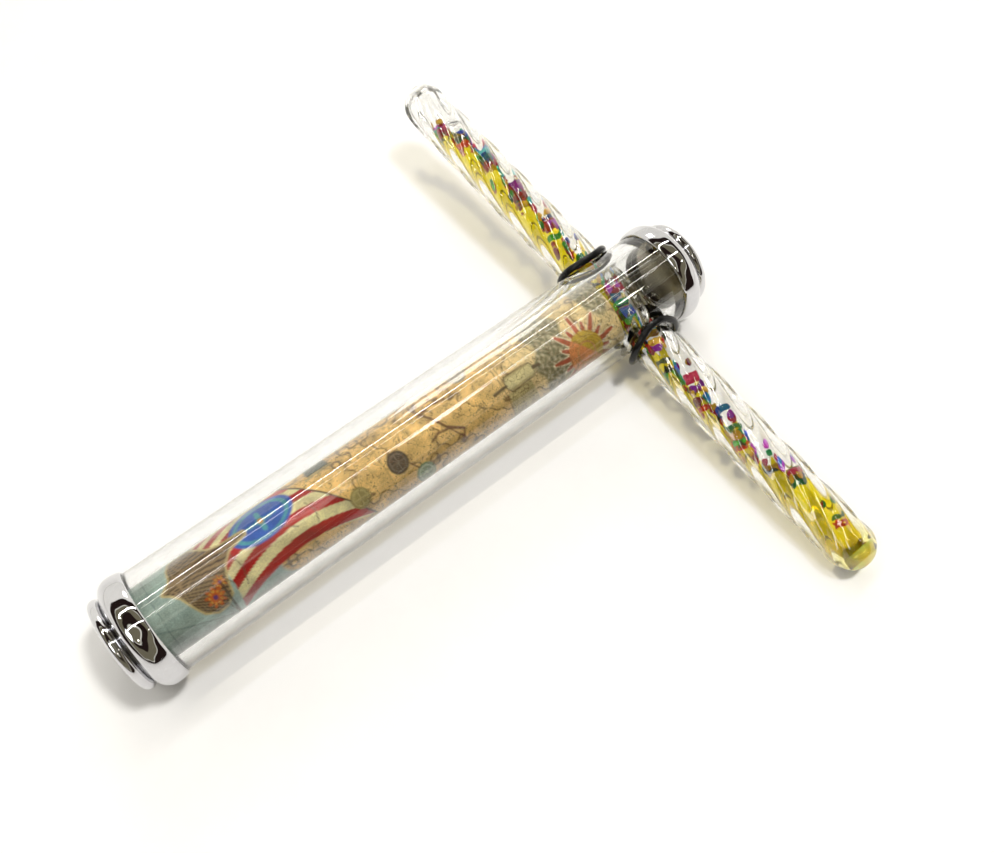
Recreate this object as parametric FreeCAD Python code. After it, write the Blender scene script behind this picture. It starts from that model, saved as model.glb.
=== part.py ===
import FreeCAD, Part
import math
import os
import random

# Wand kaleidoscope. A clear barrel with a mirror cell and a printed picture tube in its bore, a
# chrome cap on each end, and a liquid-filled glitter wand passing crosswise through two holes.
#
# Frame: the origin is the centre of the eye hole on the eyepiece's outer face, +X runs along the
# barrel towards the objective end, +Z is up and the wand lies along Y. The object lies as on a
# table: on the two cap beads and on the low tip of the wand, so the barrel is rolled a little.

# ---- Driving dimensions, in millimetres ----
barrel_d = 44.45           # outside diameter of the clear barrel, 1 3/4 inch tube
barrel_wall = 6.35         # its 1/4 inch wall
barrel_length = 264.0
socket_depth = 3.5         # how far each end of the barrel sits inside its cap
slip = 0.05                # glue gap round the barrel in each cap

bead_d = 48.2              # largest diameter of a cap, and what the object lies on
bead_width = 11.5
bead_crest_back = 5.5      # from the bead's highest point to the cap's mouth
mouth_lip = 0.33           # thickness of the cap's edge at its mouth
groove_r = 18.0            # bottom of the groove between the bead and the bezel
groove_gap = 0.3
nose_r = 17.3              # the short nose that each bezel fits over
nose_fit = 0.1

bezel_d = 40.5             # the smaller bead at the outer end of each cap
bezel_width = 4.7
dish_depth = 1.1           # how far the eye hole lies behind the bezel's rim
bezel_plate = 2.7          # thickness of the bezel at the eye hole

eye_hole_d = 10.0
lens_d = 18.2
lens_thickness = 2.0
lens_dome = 0.6
washer_thickness = 1.2
washer_hole_d = 13.2
funnel_neck_x = 8.4        # where the way through the eyepiece cap starts to widen
funnel_mouth_r = 13.6

reflector_d = 31.6
reflector_thickness = 2.0
reflector_setback = 3.0    # from the objective cap's mouth to the mirror face
hollow_r = 13.5            # the hollow behind the reflector
closed_floor = 2.5         # thickness of the objective cap's floor

wand_from_cap = 236.0      # from the eyepiece cap's mouth to the wand's axis
wand_length = 310.0
wand_crest_d = 21.6        # over the crests of the twisted lobes
lobe_height = 1.3          # from valley to crest
lobe_count = 7
lobe_pitch = 160.0         # length in which a right-handed lobe goes once round
lobe_fade = 16.0           # length over which the lobes run out before each round end
wand_bore_d = 16.8
wand_end_wall = 4.0        # solid acrylic beyond each end of the bore
plug_d = 14.0
skin_rows = 8              # the wand's side is cut into patches this many outlines long
outlines_on_body = 40      # outlines along the straight part of the wand
points_on_lobe = 8         # points of an outline on each lobe
bubble_length = 14.0       # air left at the raised end of the bore
hole_clearance = 0.5       # between the lobe crests and the holes in the barrel

ring_wire_d = 3.2          # rubber O-ring section
ring_clearance = 0.25      # between the lobe crests and the O-ring
upper_ring_gap = 0.3       # between the barrel and the upper O-ring, which rests against it
lower_ring_gap = 2.0       # the slack that lets the wand slide

picture_d = 31.2
picture_paper = 0.25
card_wall = 1.1
picture_end_gap = 1.0      # between the picture tube and the wand's crests
cell_start = 14.2          # where the picture tube meets the eyepiece cap's spigot
spigot_gap = 0.2           # between the spigot and the picture tube
cell_fit = 0.05            # round the foam collars and the window, in the card tube

mirror_width = 21.6
mirror_thickness = 2.0
mirror_gap = 0.05          # between neighbouring mirrors
mirror_setback = 1.0       # from the picture tube's end to the mirrors
window_gap = 2.0           # between the mirrors and the window
tape_thickness = 0.3
tape_width = 14.0
tape_count = 3
foam_length = 6.0
foam_setback = 1.5         # from the picture tube's end to the rear collar
front_foam_setback = 1.0   # from the mirrors' front ends to the front collar
foam_fit = 0.02
window_thickness = 1.5

flake_thickness = 0.25
flake_clearance = 0.35     # between one glitter piece's reach and the next
flake_wall_gap = 0.4       # between a glitter piece's reach and the bore
flake_end_gap = 3.0        # between the glitter and the liquid's surface
star_waist = 0.42          # radius of a star's inner corners, as a share of its outer radius

# ---- Values worked out from them ----
barrel_r = barrel_d / 2
bore_r = barrel_r - barrel_wall
bead_r = bead_d / 2
bezel_r = bezel_d / 2
bezel_rim_r = bezel_width / 2
rim_centre_r = bezel_r - bezel_rim_r
nose_x = bezel_plate
bead_start = bezel_width - dish_depth + groove_gap
cap_mouth = bead_start + bead_width
barrel_start = cap_mouth - socket_depth
barrel_end = barrel_start + barrel_length
far_mouth = barrel_end - socket_depth
mirror_x = cap_mouth + far_mouth       # a place x in the eyepiece cap is mirror_x - x in the other

crest_r = wand_crest_d / 2
lobe_swing = lobe_height / 2
mean_r = crest_r - lobe_swing
wand_x = cap_mouth + wand_from_cap
half_wand = wand_length / 2
wand_hole_r = crest_r + hole_clearance
wand_bore_r = wand_bore_d / 2
bore_top = half_wand - wand_end_wall
tilt = math.asin((bead_r - crest_r) / (half_wand - mean_r))  # the low tip is level with the beads

picture_r = picture_d / 2
card_r = picture_r - picture_paper
card_bore_r = card_r - card_wall
picture_end = wand_x - crest_r - picture_end_gap
cell_end = picture_end - window_thickness - window_gap
strip_r = mirror_width / (2 * math.sqrt(3))      # from the axis to a mirror's face

x_axis = FreeCAD.Vector(1, 0, 0)
origin = FreeCAD.Vector(0, 0, 0)


def place(x, r):
    """A point of a turned profile: x along the barrel, r out from its axis."""
    return FreeCAD.Vector(x, 0, r)


def polyline(points):
    """Straight edges from each point to the next."""
    return [Part.makeLine(a, b) for a, b in zip(points, points[1:])]


def quarter(centre, start, end):
    """A quarter of an ellipse about centre, whose semi-axes run to start and to end."""
    across = start - centre
    up = end - centre
    steps = [centre + across * math.cos(a) + up * math.sin(a)
             for a in (math.pi / 8 * i for i in range(5))]
    curve = Part.BSplineCurve()
    curve.interpolate(Points=steps, InitialTangent=up, FinalTangent=across * -1)
    return curve.toShape()


def arc(a, b, c):
    """A circular arc from a through b to c."""
    return Part.Arc(a, b, c).toShape()


def turned(edges):
    """The solid that a closed profile makes when it is turned round the barrel's axis."""
    wire = Part.Wire(Part.__sortEdges__(edges))
    solid = Part.Face(wire).revolve(origin, x_axis, 360)
    return solid if solid.Volume > 0 else solid.reversed()


def ring(outer_r, inner_r, start, end):
    """A plain tube or washer round the barrel's axis."""
    body = Part.makeCylinder(outer_r, end - start, place(start, 0), x_axis)
    if inner_r > 0:
        body = body.cut(Part.makeCylinder(inner_r, end - start, place(start, 0), x_axis))
    return body


def along_wand(shape):
    """Moves a shape made along +Z about the origin to the wand's place, with +Z to the raised tip."""
    turn = FreeCAD.Rotation(x_axis, math.degrees(tilt) - 90)
    moved = shape.copy()
    moved.Placement = FreeCAD.Placement(place(wand_x, 0), turn).multiply(shape.Placement)
    return moved


def closed_curve(points):
    """A smooth closed curve through points, with evenly spaced knots."""
    count = len(points)
    curve = Part.BSplineCurve()
    curve.interpolate(Points=points, PeriodicFlag=True, Parameters=[i / count for i in range(count + 1)])
    return curve


# ---- Barrel ----
def barrel_tube():
    """The clear barrel, with one hole drilled right through both walls for the wand."""
    tube = ring(barrel_r, bore_r, barrel_start, barrel_end)
    drill = Part.makeCylinder(wand_hole_r, 2 * barrel_d, FreeCAD.Vector(0, 0, -barrel_d))
    return tube.cut(along_wand(drill))


# ---- Caps ----
def bead_edges(at):
    """The rounded bead of a cap, from its groove over its crest to its mouth."""
    crest_x = cap_mouth - bead_crest_back
    lip_r = barrel_r + slip + mouth_lip
    front = quarter(at(crest_x, groove_r), at(bead_start, groove_r), at(crest_x, bead_r))
    back = quarter(at(crest_x, lip_r), at(crest_x, bead_r), at(cap_mouth, lip_r))
    return [front, back]


def socket_edges(at, inner):
    """The rest of a cap: the socket for the barrel's end, the inside, and the nose under the bezel."""
    socket = [
        at(cap_mouth, barrel_r + slip + mouth_lip),
        at(cap_mouth, barrel_r + slip),
        at(barrel_start, barrel_r + slip),
    ]
    nose = [
        at(nose_x, nose_r),
        at(bead_start, nose_r),
        at(bead_start, groove_r),
    ]
    return polyline(socket + inner + nose)


def eyepiece_cap():
    """Chrome cap with a pocket for the eye lens, a flared way through and a spigot in the bore."""
    pocket_end = nose_x + lens_thickness + washer_thickness
    inner = [
        place(barrel_start, bore_r - slip),
        place(cell_start - spigot_gap, bore_r - slip),
        place(cell_start - spigot_gap, funnel_mouth_r),
        place(funnel_neck_x, washer_hole_d / 2),
        place(pocket_end, washer_hole_d / 2),
        place(pocket_end, lens_d / 2 + slip),
        place(nose_x, lens_d / 2 + slip),
    ]
    return turned(bead_edges(place) + socket_edges(place, inner))


def far_place(x, r):
    """place, for the objective cap: the same cap turned end for end."""
    return place(mirror_x - x, r)


def objective_cap():
    """Chrome cap with a closed floor, and a seat that holds the reflector against the barrel."""
    seat_depth = cap_mouth - reflector_setback - reflector_thickness
    inner = [
        far_place(barrel_start, reflector_d / 2 + slip),
        far_place(seat_depth, reflector_d / 2 + slip),
        far_place(seat_depth, hollow_r),
        far_place(nose_x + closed_floor, hollow_r),
        far_place(nose_x + closed_floor, 0),
        far_place(nose_x, 0),
    ]
    return turned(bead_edges(far_place) + socket_edges(far_place, inner))


def bezel_rim(at):
    """The rounded rim of a bezel, and the recess that fits over the cap's nose."""
    rim_x = bezel_rim_r - dish_depth
    rim = arc(at(-dish_depth, rim_centre_r), at(rim_x, bezel_r), at(bead_start - groove_gap, rim_centre_r))
    recess = [
        at(bead_start - groove_gap, rim_centre_r),
        at(bead_start - groove_gap, nose_r + nose_fit),
        at(nose_x, nose_r + nose_fit),
    ]
    return [rim] + polyline(recess)


def eyepiece_bezel():
    """Chrome ring over the eye lens: its face sinks in a shallow arc from the rim to the eye hole."""
    eye_r = eye_hole_d / 2
    fall = rim_centre_r - eye_r
    dish_r = (fall ** 2 + dish_depth ** 2) / (2 * dish_depth)
    middle_r = (rim_centre_r + eye_r) / 2
    middle_x = dish_r - dish_depth - math.sqrt(dish_r ** 2 - (rim_centre_r - middle_r) ** 2)
    dish = arc(place(0, eye_r), place(middle_x, middle_r), place(-dish_depth, rim_centre_r))
    back = polyline([place(nose_x, nose_r + nose_fit), place(nose_x, eye_r), place(0, eye_r)])
    return turned(bezel_rim(place) + back + [dish])


def objective_bezel():
    """Chrome end plate with the same rim and a flat face, on which the kaleidoscope can stand."""
    back = [
        far_place(nose_x, nose_r + nose_fit),
        far_place(nose_x, 0),
        far_place(-dish_depth, 0),
        far_place(-dish_depth, rim_centre_r),
    ]
    return turned(bezel_rim(far_place) + polyline(back))


def eye_lens():
    """Clear disc behind the eye hole, flat towards the eye and slightly domed inside."""
    r = lens_d / 2
    dome_r = (r ** 2 + lens_dome ** 2) / (2 * lens_dome)
    dome = Part.makeSphere(dome_r, place(nose_x + lens_thickness - dome_r, 0))
    return ring(r, 0, nose_x, nose_x + lens_thickness).common(dome)


def eye_lens_washer():
    """Card washer that holds the lens against the bezel."""
    start = nose_x + lens_thickness
    return ring(lens_d / 2, washer_hole_d / 2, start, start + washer_thickness)


def reflector_disc():
    """Mirror disc that closes the objective end and throws light back on the wand."""
    start = far_mouth + reflector_setback
    return ring(reflector_d / 2, 0, start, start + reflector_thickness)


# ---- Mirror cell and picture tube ----
def picture_sleeve():
    """The printed paper round the card tube."""
    return ring(picture_r, card_r, cell_start, picture_end)


def card_tube():
    """The stiff card tube that the picture is wrapped on and the mirror cell lies in."""
    return ring(card_r, card_bore_r, cell_start, picture_end)


def mirror_strip(turn):
    """One long mirror. Three of them face inwards round an equilateral triangle."""
    width = mirror_width - mirror_gap
    start = cell_start + mirror_setback
    corner = FreeCAD.Vector(start, -width / 2, -strip_r - mirror_thickness)
    strip = Part.makeBox(cell_end - start, width, mirror_thickness, corner)
    strip.rotate(origin, x_axis, turn)
    return strip


def cell_outline(x, grow):
    """The six-sided outline round the three mirrors, enlarged by grow."""
    half_width = mirror_width / 2
    reach = strip_r + mirror_thickness
    corner_r = math.hypot(half_width, reach) + grow
    swing = math.atan2(half_width, reach)
    angles = [math.radians(-90 + 120 * side) + sign * swing for side in range(3) for sign in (-1, 1)]
    points = [FreeCAD.Vector(x, corner_r * math.cos(a), corner_r * math.sin(a)) for a in angles]
    return Part.Face(Part.makePolygon(points + points[:1]))


def mirror_tape():
    """Bands of tape that hold the three mirrors together."""
    bands = []
    for number in range(tape_count):
        middle = cell_start + (number + 0.5) * (cell_end - cell_start) / tape_count
        outer = cell_outline(middle - tape_width / 2, tape_thickness).extrude(x_axis * tape_width)
        inner = cell_outline(middle - tape_width / 2, 0).extrude(x_axis * tape_width)
        bands.append(outer.cut(inner))
    return Part.makeCompound(bands)


def foam_ring(start):
    """Foam collar that centres the mirror cell in the card tube."""
    hole = cell_outline(start, foam_fit).extrude(x_axis * foam_length)
    return ring(card_bore_r - cell_fit, 0, start, start + foam_length).cut(hole)


def front_window():
    """Clear disc that closes the mirror cell next to the wand."""
    return ring(card_bore_r - cell_fit, 0, picture_end - window_thickness, picture_end)


# ---- O-rings ----
def o_ring(side, gap):
    """Rubber ring round the wand, bent like a saddle so that it lies on the round barrel.

    Its middle line keeps one distance from the wand's axis and one from the barrel's axis. Each
    section is a circle across that line.
    """
    wire_r = ring_wire_d / 2
    round_wand = crest_r + ring_clearance + wire_r
    round_barrel = barrel_r + gap + wire_r
    stations = 32
    section_points = 12
    sections = []
    for number in range(stations):
        a = 2 * math.pi * number / stations
        outward = FreeCAD.Vector(math.cos(a), math.sin(a), 0)
        height = side * math.sqrt(round_barrel ** 2 - (round_wand * math.sin(a)) ** 2)
        centre = outward * round_wand + FreeCAD.Vector(0, 0, height)
        rise = -round_wand ** 2 * math.sin(a) * math.cos(a) / height
        tangent = FreeCAD.Vector(-round_wand * math.sin(a), round_wand * math.cos(a), rise).normalize()
        across = tangent.cross(outward)
        angles = [2 * math.pi * i / section_points for i in range(section_points)]
        points = [centre + outward * wire_r * math.cos(b) + across * wire_r * math.sin(b) for b in angles]
        sections.append(closed_curve(points))
    numbers = range(1, sections[0].NbPoles + 1)
    rows = [closed_curve([section.getPole(number) for section in sections]) for number in numbers]
    surface = Part.BSplineSurface()
    surface.buildFromPolesMultsKnots([row.getPoles() for row in rows], sections[0].getMultiplicities(),
                                     rows[0].getMultiplicities(), sections[0].getKnots(),
                                     rows[0].getKnots(), True, True, 3, 3)
    solid = Part.makeSolid(Part.Shell([surface.toShape()]))
    return along_wand(solid if solid.Volume > 0 else solid.reversed())


# ---- Wand ----
def lobed_section(z, envelope, swing):
    """Closed outline at height z: a circle of radius envelope that swings out and in lobe_count times,
    turned with z at the lobes' pitch."""
    count = points_on_lobe * lobe_count
    points = []
    for number in range(count):
        a = 2 * math.pi * number / count
        r = envelope + swing * math.cos(lobe_count * a)
        turn = a + 2 * math.pi * z / lobe_pitch
        points.append(FreeCAD.Vector(r * math.cos(turn), r * math.sin(turn), z))
    return closed_curve(points)


def section_heights():
    """Heights of the outlines: even along the body, closing up over the round ends."""
    body_end = half_wand - mean_r
    count = outlines_on_body
    body = [-body_end + 2 * body_end * i / count for i in range(count + 1)]
    caps = [body_end + mean_r * math.sin(math.radians(a)) for a in (12, 25, 38, 50, 61, 71, 79, 86)]
    return [-z for z in reversed(caps)] + body + caps


def skin(outlines):
    """The closed solid whose side passes through outlines that all have the same knots."""
    steps = [0.0]
    for before, after in zip(outlines, outlines[1:]):
        steps.append(steps[-1] + (after.getPole(1) - before.getPole(1)).Length)
    rows = []
    for number in range(1, outlines[0].NbPoles + 1):
        along = Part.BSplineCurve()
        along.interpolate(Points=[outline.getPole(number) for outline in outlines], Parameters=steps)
        rows.append(along)
    first = outlines[0]
    side = Part.BSplineSurface()
    side.buildFromPolesMultsKnots([row.getPoles() for row in rows], first.getMultiplicities(),
                                  rows[0].getMultiplicities(), first.getKnots(), rows[0].getKnots(),
                                  True, False, first.Degree, rows[0].Degree)
    patches = []
    knots = rows[0].getKnots()
    borders = knots[:-1:skin_rows] + knots[-1:]
    for low, high in zip(borders, borders[1:]):
        for left, right in ((0.0, 0.5), (0.5, 1.0)):
            patch = side.copy()
            patch.segment(left, right, low, high)
            patches.append(patch.toShape())
    rims = [Part.Wire(Part.__sortEdges__(rim_edges(patches[:2], outlines[0]))),
            Part.Wire(Part.__sortEdges__(rim_edges(patches[-2:], outlines[-1])))]
    shell = Part.makeShell(patches + [Part.Face(rim) for rim in rims])
    shell.sewShape(0.001)
    solid = Part.makeSolid(Part.Shell(shell.Faces))
    return solid if solid.Volume > 0 else solid.reversed()


def rim_edges(patches, outline):
    """The edges of patches that lie in the plane of an end outline."""
    height = outline.getPole(1).z
    flat = [edge for patch in patches for edge in patch.Edges
            if max(abs(edge.BoundBox.ZMin - height), abs(edge.BoundBox.ZMax - height)) < 0.001]
    return flat


def wand_outside():
    """The wand's outer shape: twisted lobes that run out into two round ends."""
    body_end = half_wand - mean_r
    outlines = []
    for z in section_heights():
        beyond = max(0.0, abs(z) - body_end)
        envelope = math.sqrt(mean_r ** 2 - beyond ** 2)
        fade = min(1.0, max(0.0, (half_wand - abs(z)) / lobe_fade))
        ease = fade * fade * (3 - 2 * fade)
        outlines.append(lobed_section(z, envelope, lobe_swing * ease * envelope / mean_r))
    return skin(outlines)


def bore_shape(bottom, top):
    """A bore along the wand from bottom to top, with half-round ends."""
    lines = Part.makeCylinder(wand_bore_r, top - bottom - 2 * wand_bore_r,
                              FreeCAD.Vector(0, 0, bottom + wand_bore_r))
    low = Part.makeSphere(wand_bore_r, FreeCAD.Vector(0, 0, bottom + wand_bore_r))
    high = Part.makeSphere(wand_bore_r, FreeCAD.Vector(0, 0, top - wand_bore_r))
    return lines.fuse([low, high]).removeSplitter()


def plug_shape():
    """The filling hole through the low tip, from outside the tip to inside the bore."""
    length = wand_end_wall + 2 * plug_d
    return Part.makeCylinder(plug_d / 2, length, FreeCAD.Vector(0, 0, -half_wand - plug_d))


# ---- Glitter ----
def flake_square(size):
    """Square flake, size along each side."""
    return Part.makeBox(size, size, flake_thickness, FreeCAD.Vector(-size / 2, -size / 2, 0))


def flake_strip(size):
    """Narrow strip, 0.3 as wide as it is long."""
    return Part.makeBox(size, size * 0.3, flake_thickness, FreeCAD.Vector(-size / 2, -size * 0.15, 0))


def flake_dot(size):
    """Round dot, size across."""
    return Part.makeCylinder(size / 2, flake_thickness)


def flake_star(size):
    """Five-pointed star, size across its points."""
    points = []
    for number in range(10):
        r = size / 2 if number % 2 == 0 else star_waist * size / 2
        a = math.pi * number / 5
        points.append(FreeCAD.Vector(r * math.cos(a), r * math.sin(a), 0))
    return Part.Face(Part.makePolygon(points + points[:1])).extrude(FreeCAD.Vector(0, 0, flake_thickness))


def flake_moon(size):
    """Crescent: a disc, size across, less a second disc set to one side."""
    bite = Part.makeCylinder(size * 0.42, flake_thickness, FreeCAD.Vector(size * 0.24, 0, 0))
    return Part.makeCylinder(size / 2, flake_thickness).cut(bite)


# node name: outline, size, how many
flake_kinds = {
    "foil_squares_purple": (flake_square, 3.2, 15),
    "foil_squares_crimson": (flake_square, 3.4, 15),
    "foil_squares_blue": (flake_square, 3.0, 15),
    "foil_strips_green": (flake_strip, 5.4, 13),
    "foil_strips_gold": (flake_strip, 5.8, 12),
    "foil_dots_teal": (flake_dot, 3.0, 14),
    "foil_stars_red": (flake_star, 5.2, 11),
    "foil_moons_navy": (flake_moon, 5.0, 11),
}


def glitter():
    """Every foil flake, scattered through the liquid so that no two reach each other."""
    rng = random.Random(41)
    reach_limit = wand_bore_r - flake_wall_gap
    low = wand_bore_r - bore_top
    high = bore_top - bubble_length - flake_end_gap
    taken = []
    groups = {}
    for name, (outline, size, count) in flake_kinds.items():
        corner = 1.44 if outline is flake_square else 1.08
        reach = corner * size / 2
        pieces = []
        while len(pieces) < count:
            z = rng.uniform(low, high)
            r = (reach_limit - reach) * math.sqrt(rng.random())
            a = rng.uniform(0, 2 * math.pi)
            centre = FreeCAD.Vector(r * math.cos(a), r * math.sin(a), z)
            if any((centre - other).Length < reach + span + flake_clearance for other, span in taken):
                continue
            taken.append((centre, reach))
            axis = FreeCAD.Vector(rng.gauss(0, 1), rng.gauss(0, 1), rng.gauss(0, 1))
            flake = outline(size)
            flake.Placement = FreeCAD.Placement(centre, FreeCAD.Rotation(axis, rng.uniform(0, 360)))
            pieces.append(flake)
        groups[name] = Part.makeCompound(pieces)
    return groups


def wand_nodes():
    """The wand's shell, plug, liquid and glitter, each a part of its own."""
    outside = wand_outside()
    cavity = bore_shape(-bore_top, bore_top)
    plug_hole = plug_shape()
    shell = outside.cut(cavity).cut(plug_hole)
    plug = outside.common(plug_hole).cut(cavity)
    surface = FreeCAD.Vector(0, 0, bore_top - bubble_length)
    air = Part.makeCylinder(wand_bore_d, 2 * bubble_length, surface)
    flakes = glitter()
    liquid = cavity.cut(air).cut(Part.makeCompound(list(flakes.values())))
    nodes = {"wand_shell": shell, "wand_plug": plug, "wand_liquid": liquid, **flakes}
    return {name: along_wand(shape) for name, shape in nodes.items()}


def all_nodes():
    """Every part of the kaleidoscope under its own name."""
    nodes = {
        "barrel_tube": barrel_tube(),
        "eyepiece_cap": eyepiece_cap(),
        "eyepiece_bezel": eyepiece_bezel(),
        "eye_lens": eye_lens(),
        "eye_lens_washer": eye_lens_washer(),
        "objective_cap": objective_cap(),
        "objective_bezel": objective_bezel(),
        "reflector_disc": reflector_disc(),
        "picture_sleeve": picture_sleeve(),
        "card_tube": card_tube(),
        "mirror_base": mirror_strip(0),
        "mirror_left": mirror_strip(120),
        "mirror_right": mirror_strip(240),
        "mirror_tape": mirror_tape(),
        "rear_foam_ring": foam_ring(cell_start + foam_setback),
        "front_foam_ring": foam_ring(cell_end - foam_length - front_foam_setback),
        "front_window": front_window(),
        "o_ring_upper": o_ring(1, upper_ring_gap),
        "o_ring_lower": o_ring(-1, lower_ring_gap),
    }
    nodes.update(wand_nodes())
    return nodes


os.makedirs("parts", exist_ok=True)
for node_name, shape in all_nodes().items():
    shape.exportStep(os.path.join("parts", node_name + ".step"))
    box = shape.BoundBox
    sides = f"x {box.XMin:.2f}..{box.XMax:.2f} y {box.YMin:.2f}..{box.YMax:.2f} z {box.ZMin:.2f}..{box.ZMax:.2f}"
    print(f"{node_name:22s} valid={shape.isValid()} solids={len(shape.Solids)} mm3={shape.Volume:.0f} {sides}")
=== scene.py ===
"""The finished looks of a wand kaleidoscope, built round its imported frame.

Lengths inside the shape functions are millimetres in the frame's own axes: X runs along the
barrel from the eye hole, Z is up and the wand lies along Y. Pieces are turned into metres when
their mesh is made.
"""
import math

import bmesh
import bpy
import numpy as np
from bpy.props import FloatProperty, FloatVectorProperty, IntProperty, PointerProperty
from mathutils import Matrix, Vector


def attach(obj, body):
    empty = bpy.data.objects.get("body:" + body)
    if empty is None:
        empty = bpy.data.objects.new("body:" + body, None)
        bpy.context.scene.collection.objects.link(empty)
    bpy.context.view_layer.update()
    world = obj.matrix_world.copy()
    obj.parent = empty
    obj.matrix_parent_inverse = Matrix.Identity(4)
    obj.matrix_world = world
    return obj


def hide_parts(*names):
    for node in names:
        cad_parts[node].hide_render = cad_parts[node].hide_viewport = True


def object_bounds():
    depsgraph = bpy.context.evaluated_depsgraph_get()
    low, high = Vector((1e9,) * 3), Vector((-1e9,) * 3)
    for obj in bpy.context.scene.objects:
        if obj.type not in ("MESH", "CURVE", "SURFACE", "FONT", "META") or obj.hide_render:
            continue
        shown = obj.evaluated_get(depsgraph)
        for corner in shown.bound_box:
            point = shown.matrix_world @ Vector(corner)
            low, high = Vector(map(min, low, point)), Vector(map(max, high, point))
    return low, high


bl_info = {
    "name": "Wand kaleidoscope",
    "version": (1, 0, 0),
    "blender": (4, 5, 0),
    "location": "3D View > Sidebar > Kaleidoscope",
    "description": "Builds a clear barrel with chrome caps, a printed picture tube and a glitter wand",
    "category": "Add Mesh",
}

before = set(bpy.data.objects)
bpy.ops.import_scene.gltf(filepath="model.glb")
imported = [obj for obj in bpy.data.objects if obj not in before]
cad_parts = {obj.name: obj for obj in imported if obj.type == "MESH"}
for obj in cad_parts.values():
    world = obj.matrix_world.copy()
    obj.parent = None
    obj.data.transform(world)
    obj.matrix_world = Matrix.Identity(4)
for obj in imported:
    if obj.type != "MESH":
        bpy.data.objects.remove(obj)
cad_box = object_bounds()

MM = 0.001
COAT_ROUGHNESS = 0.035
WHITE = (1.0, 1.0, 1.0)

# ---- Sizes of the frame, in millimetres ----
BARREL_ENDS = (11.9, 275.9)
CAP_MOUTH = 15.4
BEAD_START = 3.9
BEAD_CREST = 9.9
BEAD_R = 24.09
GROOVE_R = 18.0
LIP_R = 22.605
SOCKET_R = 22.275
SPIGOT_R = 15.825
NOSE_X = 2.7
NOSE_R = 17.3
RECESS_R = 17.4
RIM_CENTRE_R = 17.9
RIM_R = 2.35
DISH = 1.1
EYE_R = 5.0
LENS_R = 9.1
LENS_CREST = 4.7
LENS_RISE = 0.6
LENS_SEAT_R = 9.15
WASHER_R = 6.6
MIRRORED = 287.8            # a place x in the eyepiece cap is MIRRORED - x in the objective cap
REFLECTOR = (275.4, 277.4, 15.8)
SLEEVE = (14.2, 239.6, 15.35, 15.6)
WINDOW = (238.1, 239.6, 14.2)

WAND_X = 251.4
WAND_TILT = math.radians(5.268)
HALF_WAND = 154.995
WAND_MEAN_R = 10.15
LOBE_SWING = 0.65
WAND_BORE_R = 8.4
BORE_TOP = 151.0
PLUG_R = 7.0
LIQUID_TOP = 137.0
HOLE_R = 11.3
RING_WIRE_R = 1.6
RING_ROUND_WAND = 12.65     # middle line of an O-ring from the wand's axis

# The sight line from above the wand, in the wand's own section, and the direction square to it.
FACING = np.array([-0.46, -0.84, -0.31])
ACROSS = np.array([0.868, -0.497])
BESIDE = np.array([-ACROSS[1], ACROSS[0]])

# ---- How strongly each face bends light, against what lies on its other side ----
ACRYLIC_IN_AIR = 1.49
LIQUID_IN_AIR = 1.47
ACRYLIC_IN_LIQUID = 1.014
LIQUID_IN_LIQUID = 1.002


# ---- Meshes ----
def grid_quads(rows, cols, wrap_rows, wrap_cols):
    """Four-sided faces between neighbouring points of a rows x cols grid, numbered row by row."""
    i, j = np.meshgrid(
        np.arange(rows if wrap_rows else rows - 1),
        np.arange(cols if wrap_cols else cols - 1),
        indexing="ij",
    )
    below = (i + 1) % rows
    beside = (j + 1) % cols
    corners = [i * cols + j, i * cols + beside, below * cols + beside, below * cols + j]
    return np.stack(corners, -1).reshape(-1, 4)


def put_mesh(name, points, faces, kinds=None, fields=None, sharp=35.0):
    """Makes a mesh piece from points in millimetres.

    kinds is each face's material number. fields are values or colours kept on the points. Points
    nearer than a ten-thousandth of a millimetre are joined, which closes seams and poles.
    """
    mesh = bpy.data.meshes.new(name)
    mesh.vertices.add(len(points))
    mesh.vertices.foreach_set("co", (points * MM).astype(np.float32).ravel())
    mesh.loops.add(faces.size)
    mesh.loops.foreach_set("vertex_index", faces.astype(np.int32).ravel())
    mesh.polygons.add(len(faces))
    starts = np.arange(0, faces.size, faces.shape[1], dtype=np.int32)
    mesh.polygons.foreach_set("loop_start", starts)
    if kinds is not None:
        mesh.polygons.foreach_set("material_index", kinds.astype(np.int32))
    mesh.update(calc_edges=True)
    for field, values in (fields or {}).items():
        if values.ndim == 1:
            layer = mesh.attributes.new(field, "FLOAT", "POINT")
            layer.data.foreach_set("value", values.astype(np.float32))
        else:
            layer = mesh.color_attributes.new(field, "FLOAT_COLOR", "POINT")
            opaque = np.concatenate([values, np.ones((len(values), 1))], 1)
            layer.data.foreach_set("color", opaque.astype(np.float32).ravel())
    shape = bmesh.new()
    shape.from_mesh(mesh)
    bmesh.ops.remove_doubles(shape, verts=shape.verts, dist=1e-7)
    bmesh.ops.recalc_face_normals(shape, faces=shape.faces)
    shape.to_mesh(mesh)
    shape.free()
    mesh.shade_smooth()
    mesh.set_sharp_from_angle(angle=math.radians(sharp))
    piece = bpy.data.objects.new(name, mesh)
    bpy.context.scene.collection.objects.link(piece)
    return piece


def surface(name, points, wrap_rows=False, wrap_cols=True, **more):
    """A piece from one grid of points, rows x columns x 3."""
    rows, cols = points.shape[:2]
    faces = grid_quads(rows, cols, wrap_rows, wrap_cols)
    return put_mesh(name, points.reshape(-1, 3), faces, **more)


def joined(grids):
    """Points and faces of several grids together. Each grid is (points, wrap_rows)."""
    points, faces, start = [], [], 0
    for grid, wrap_rows in grids:
        rows, cols = grid.shape[:2]
        points.append(grid.reshape(-1, 3))
        faces.append(grid_quads(rows, cols, wrap_rows, True) + start)
        start += rows * cols
    return np.concatenate(points), np.concatenate(faces)


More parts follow.
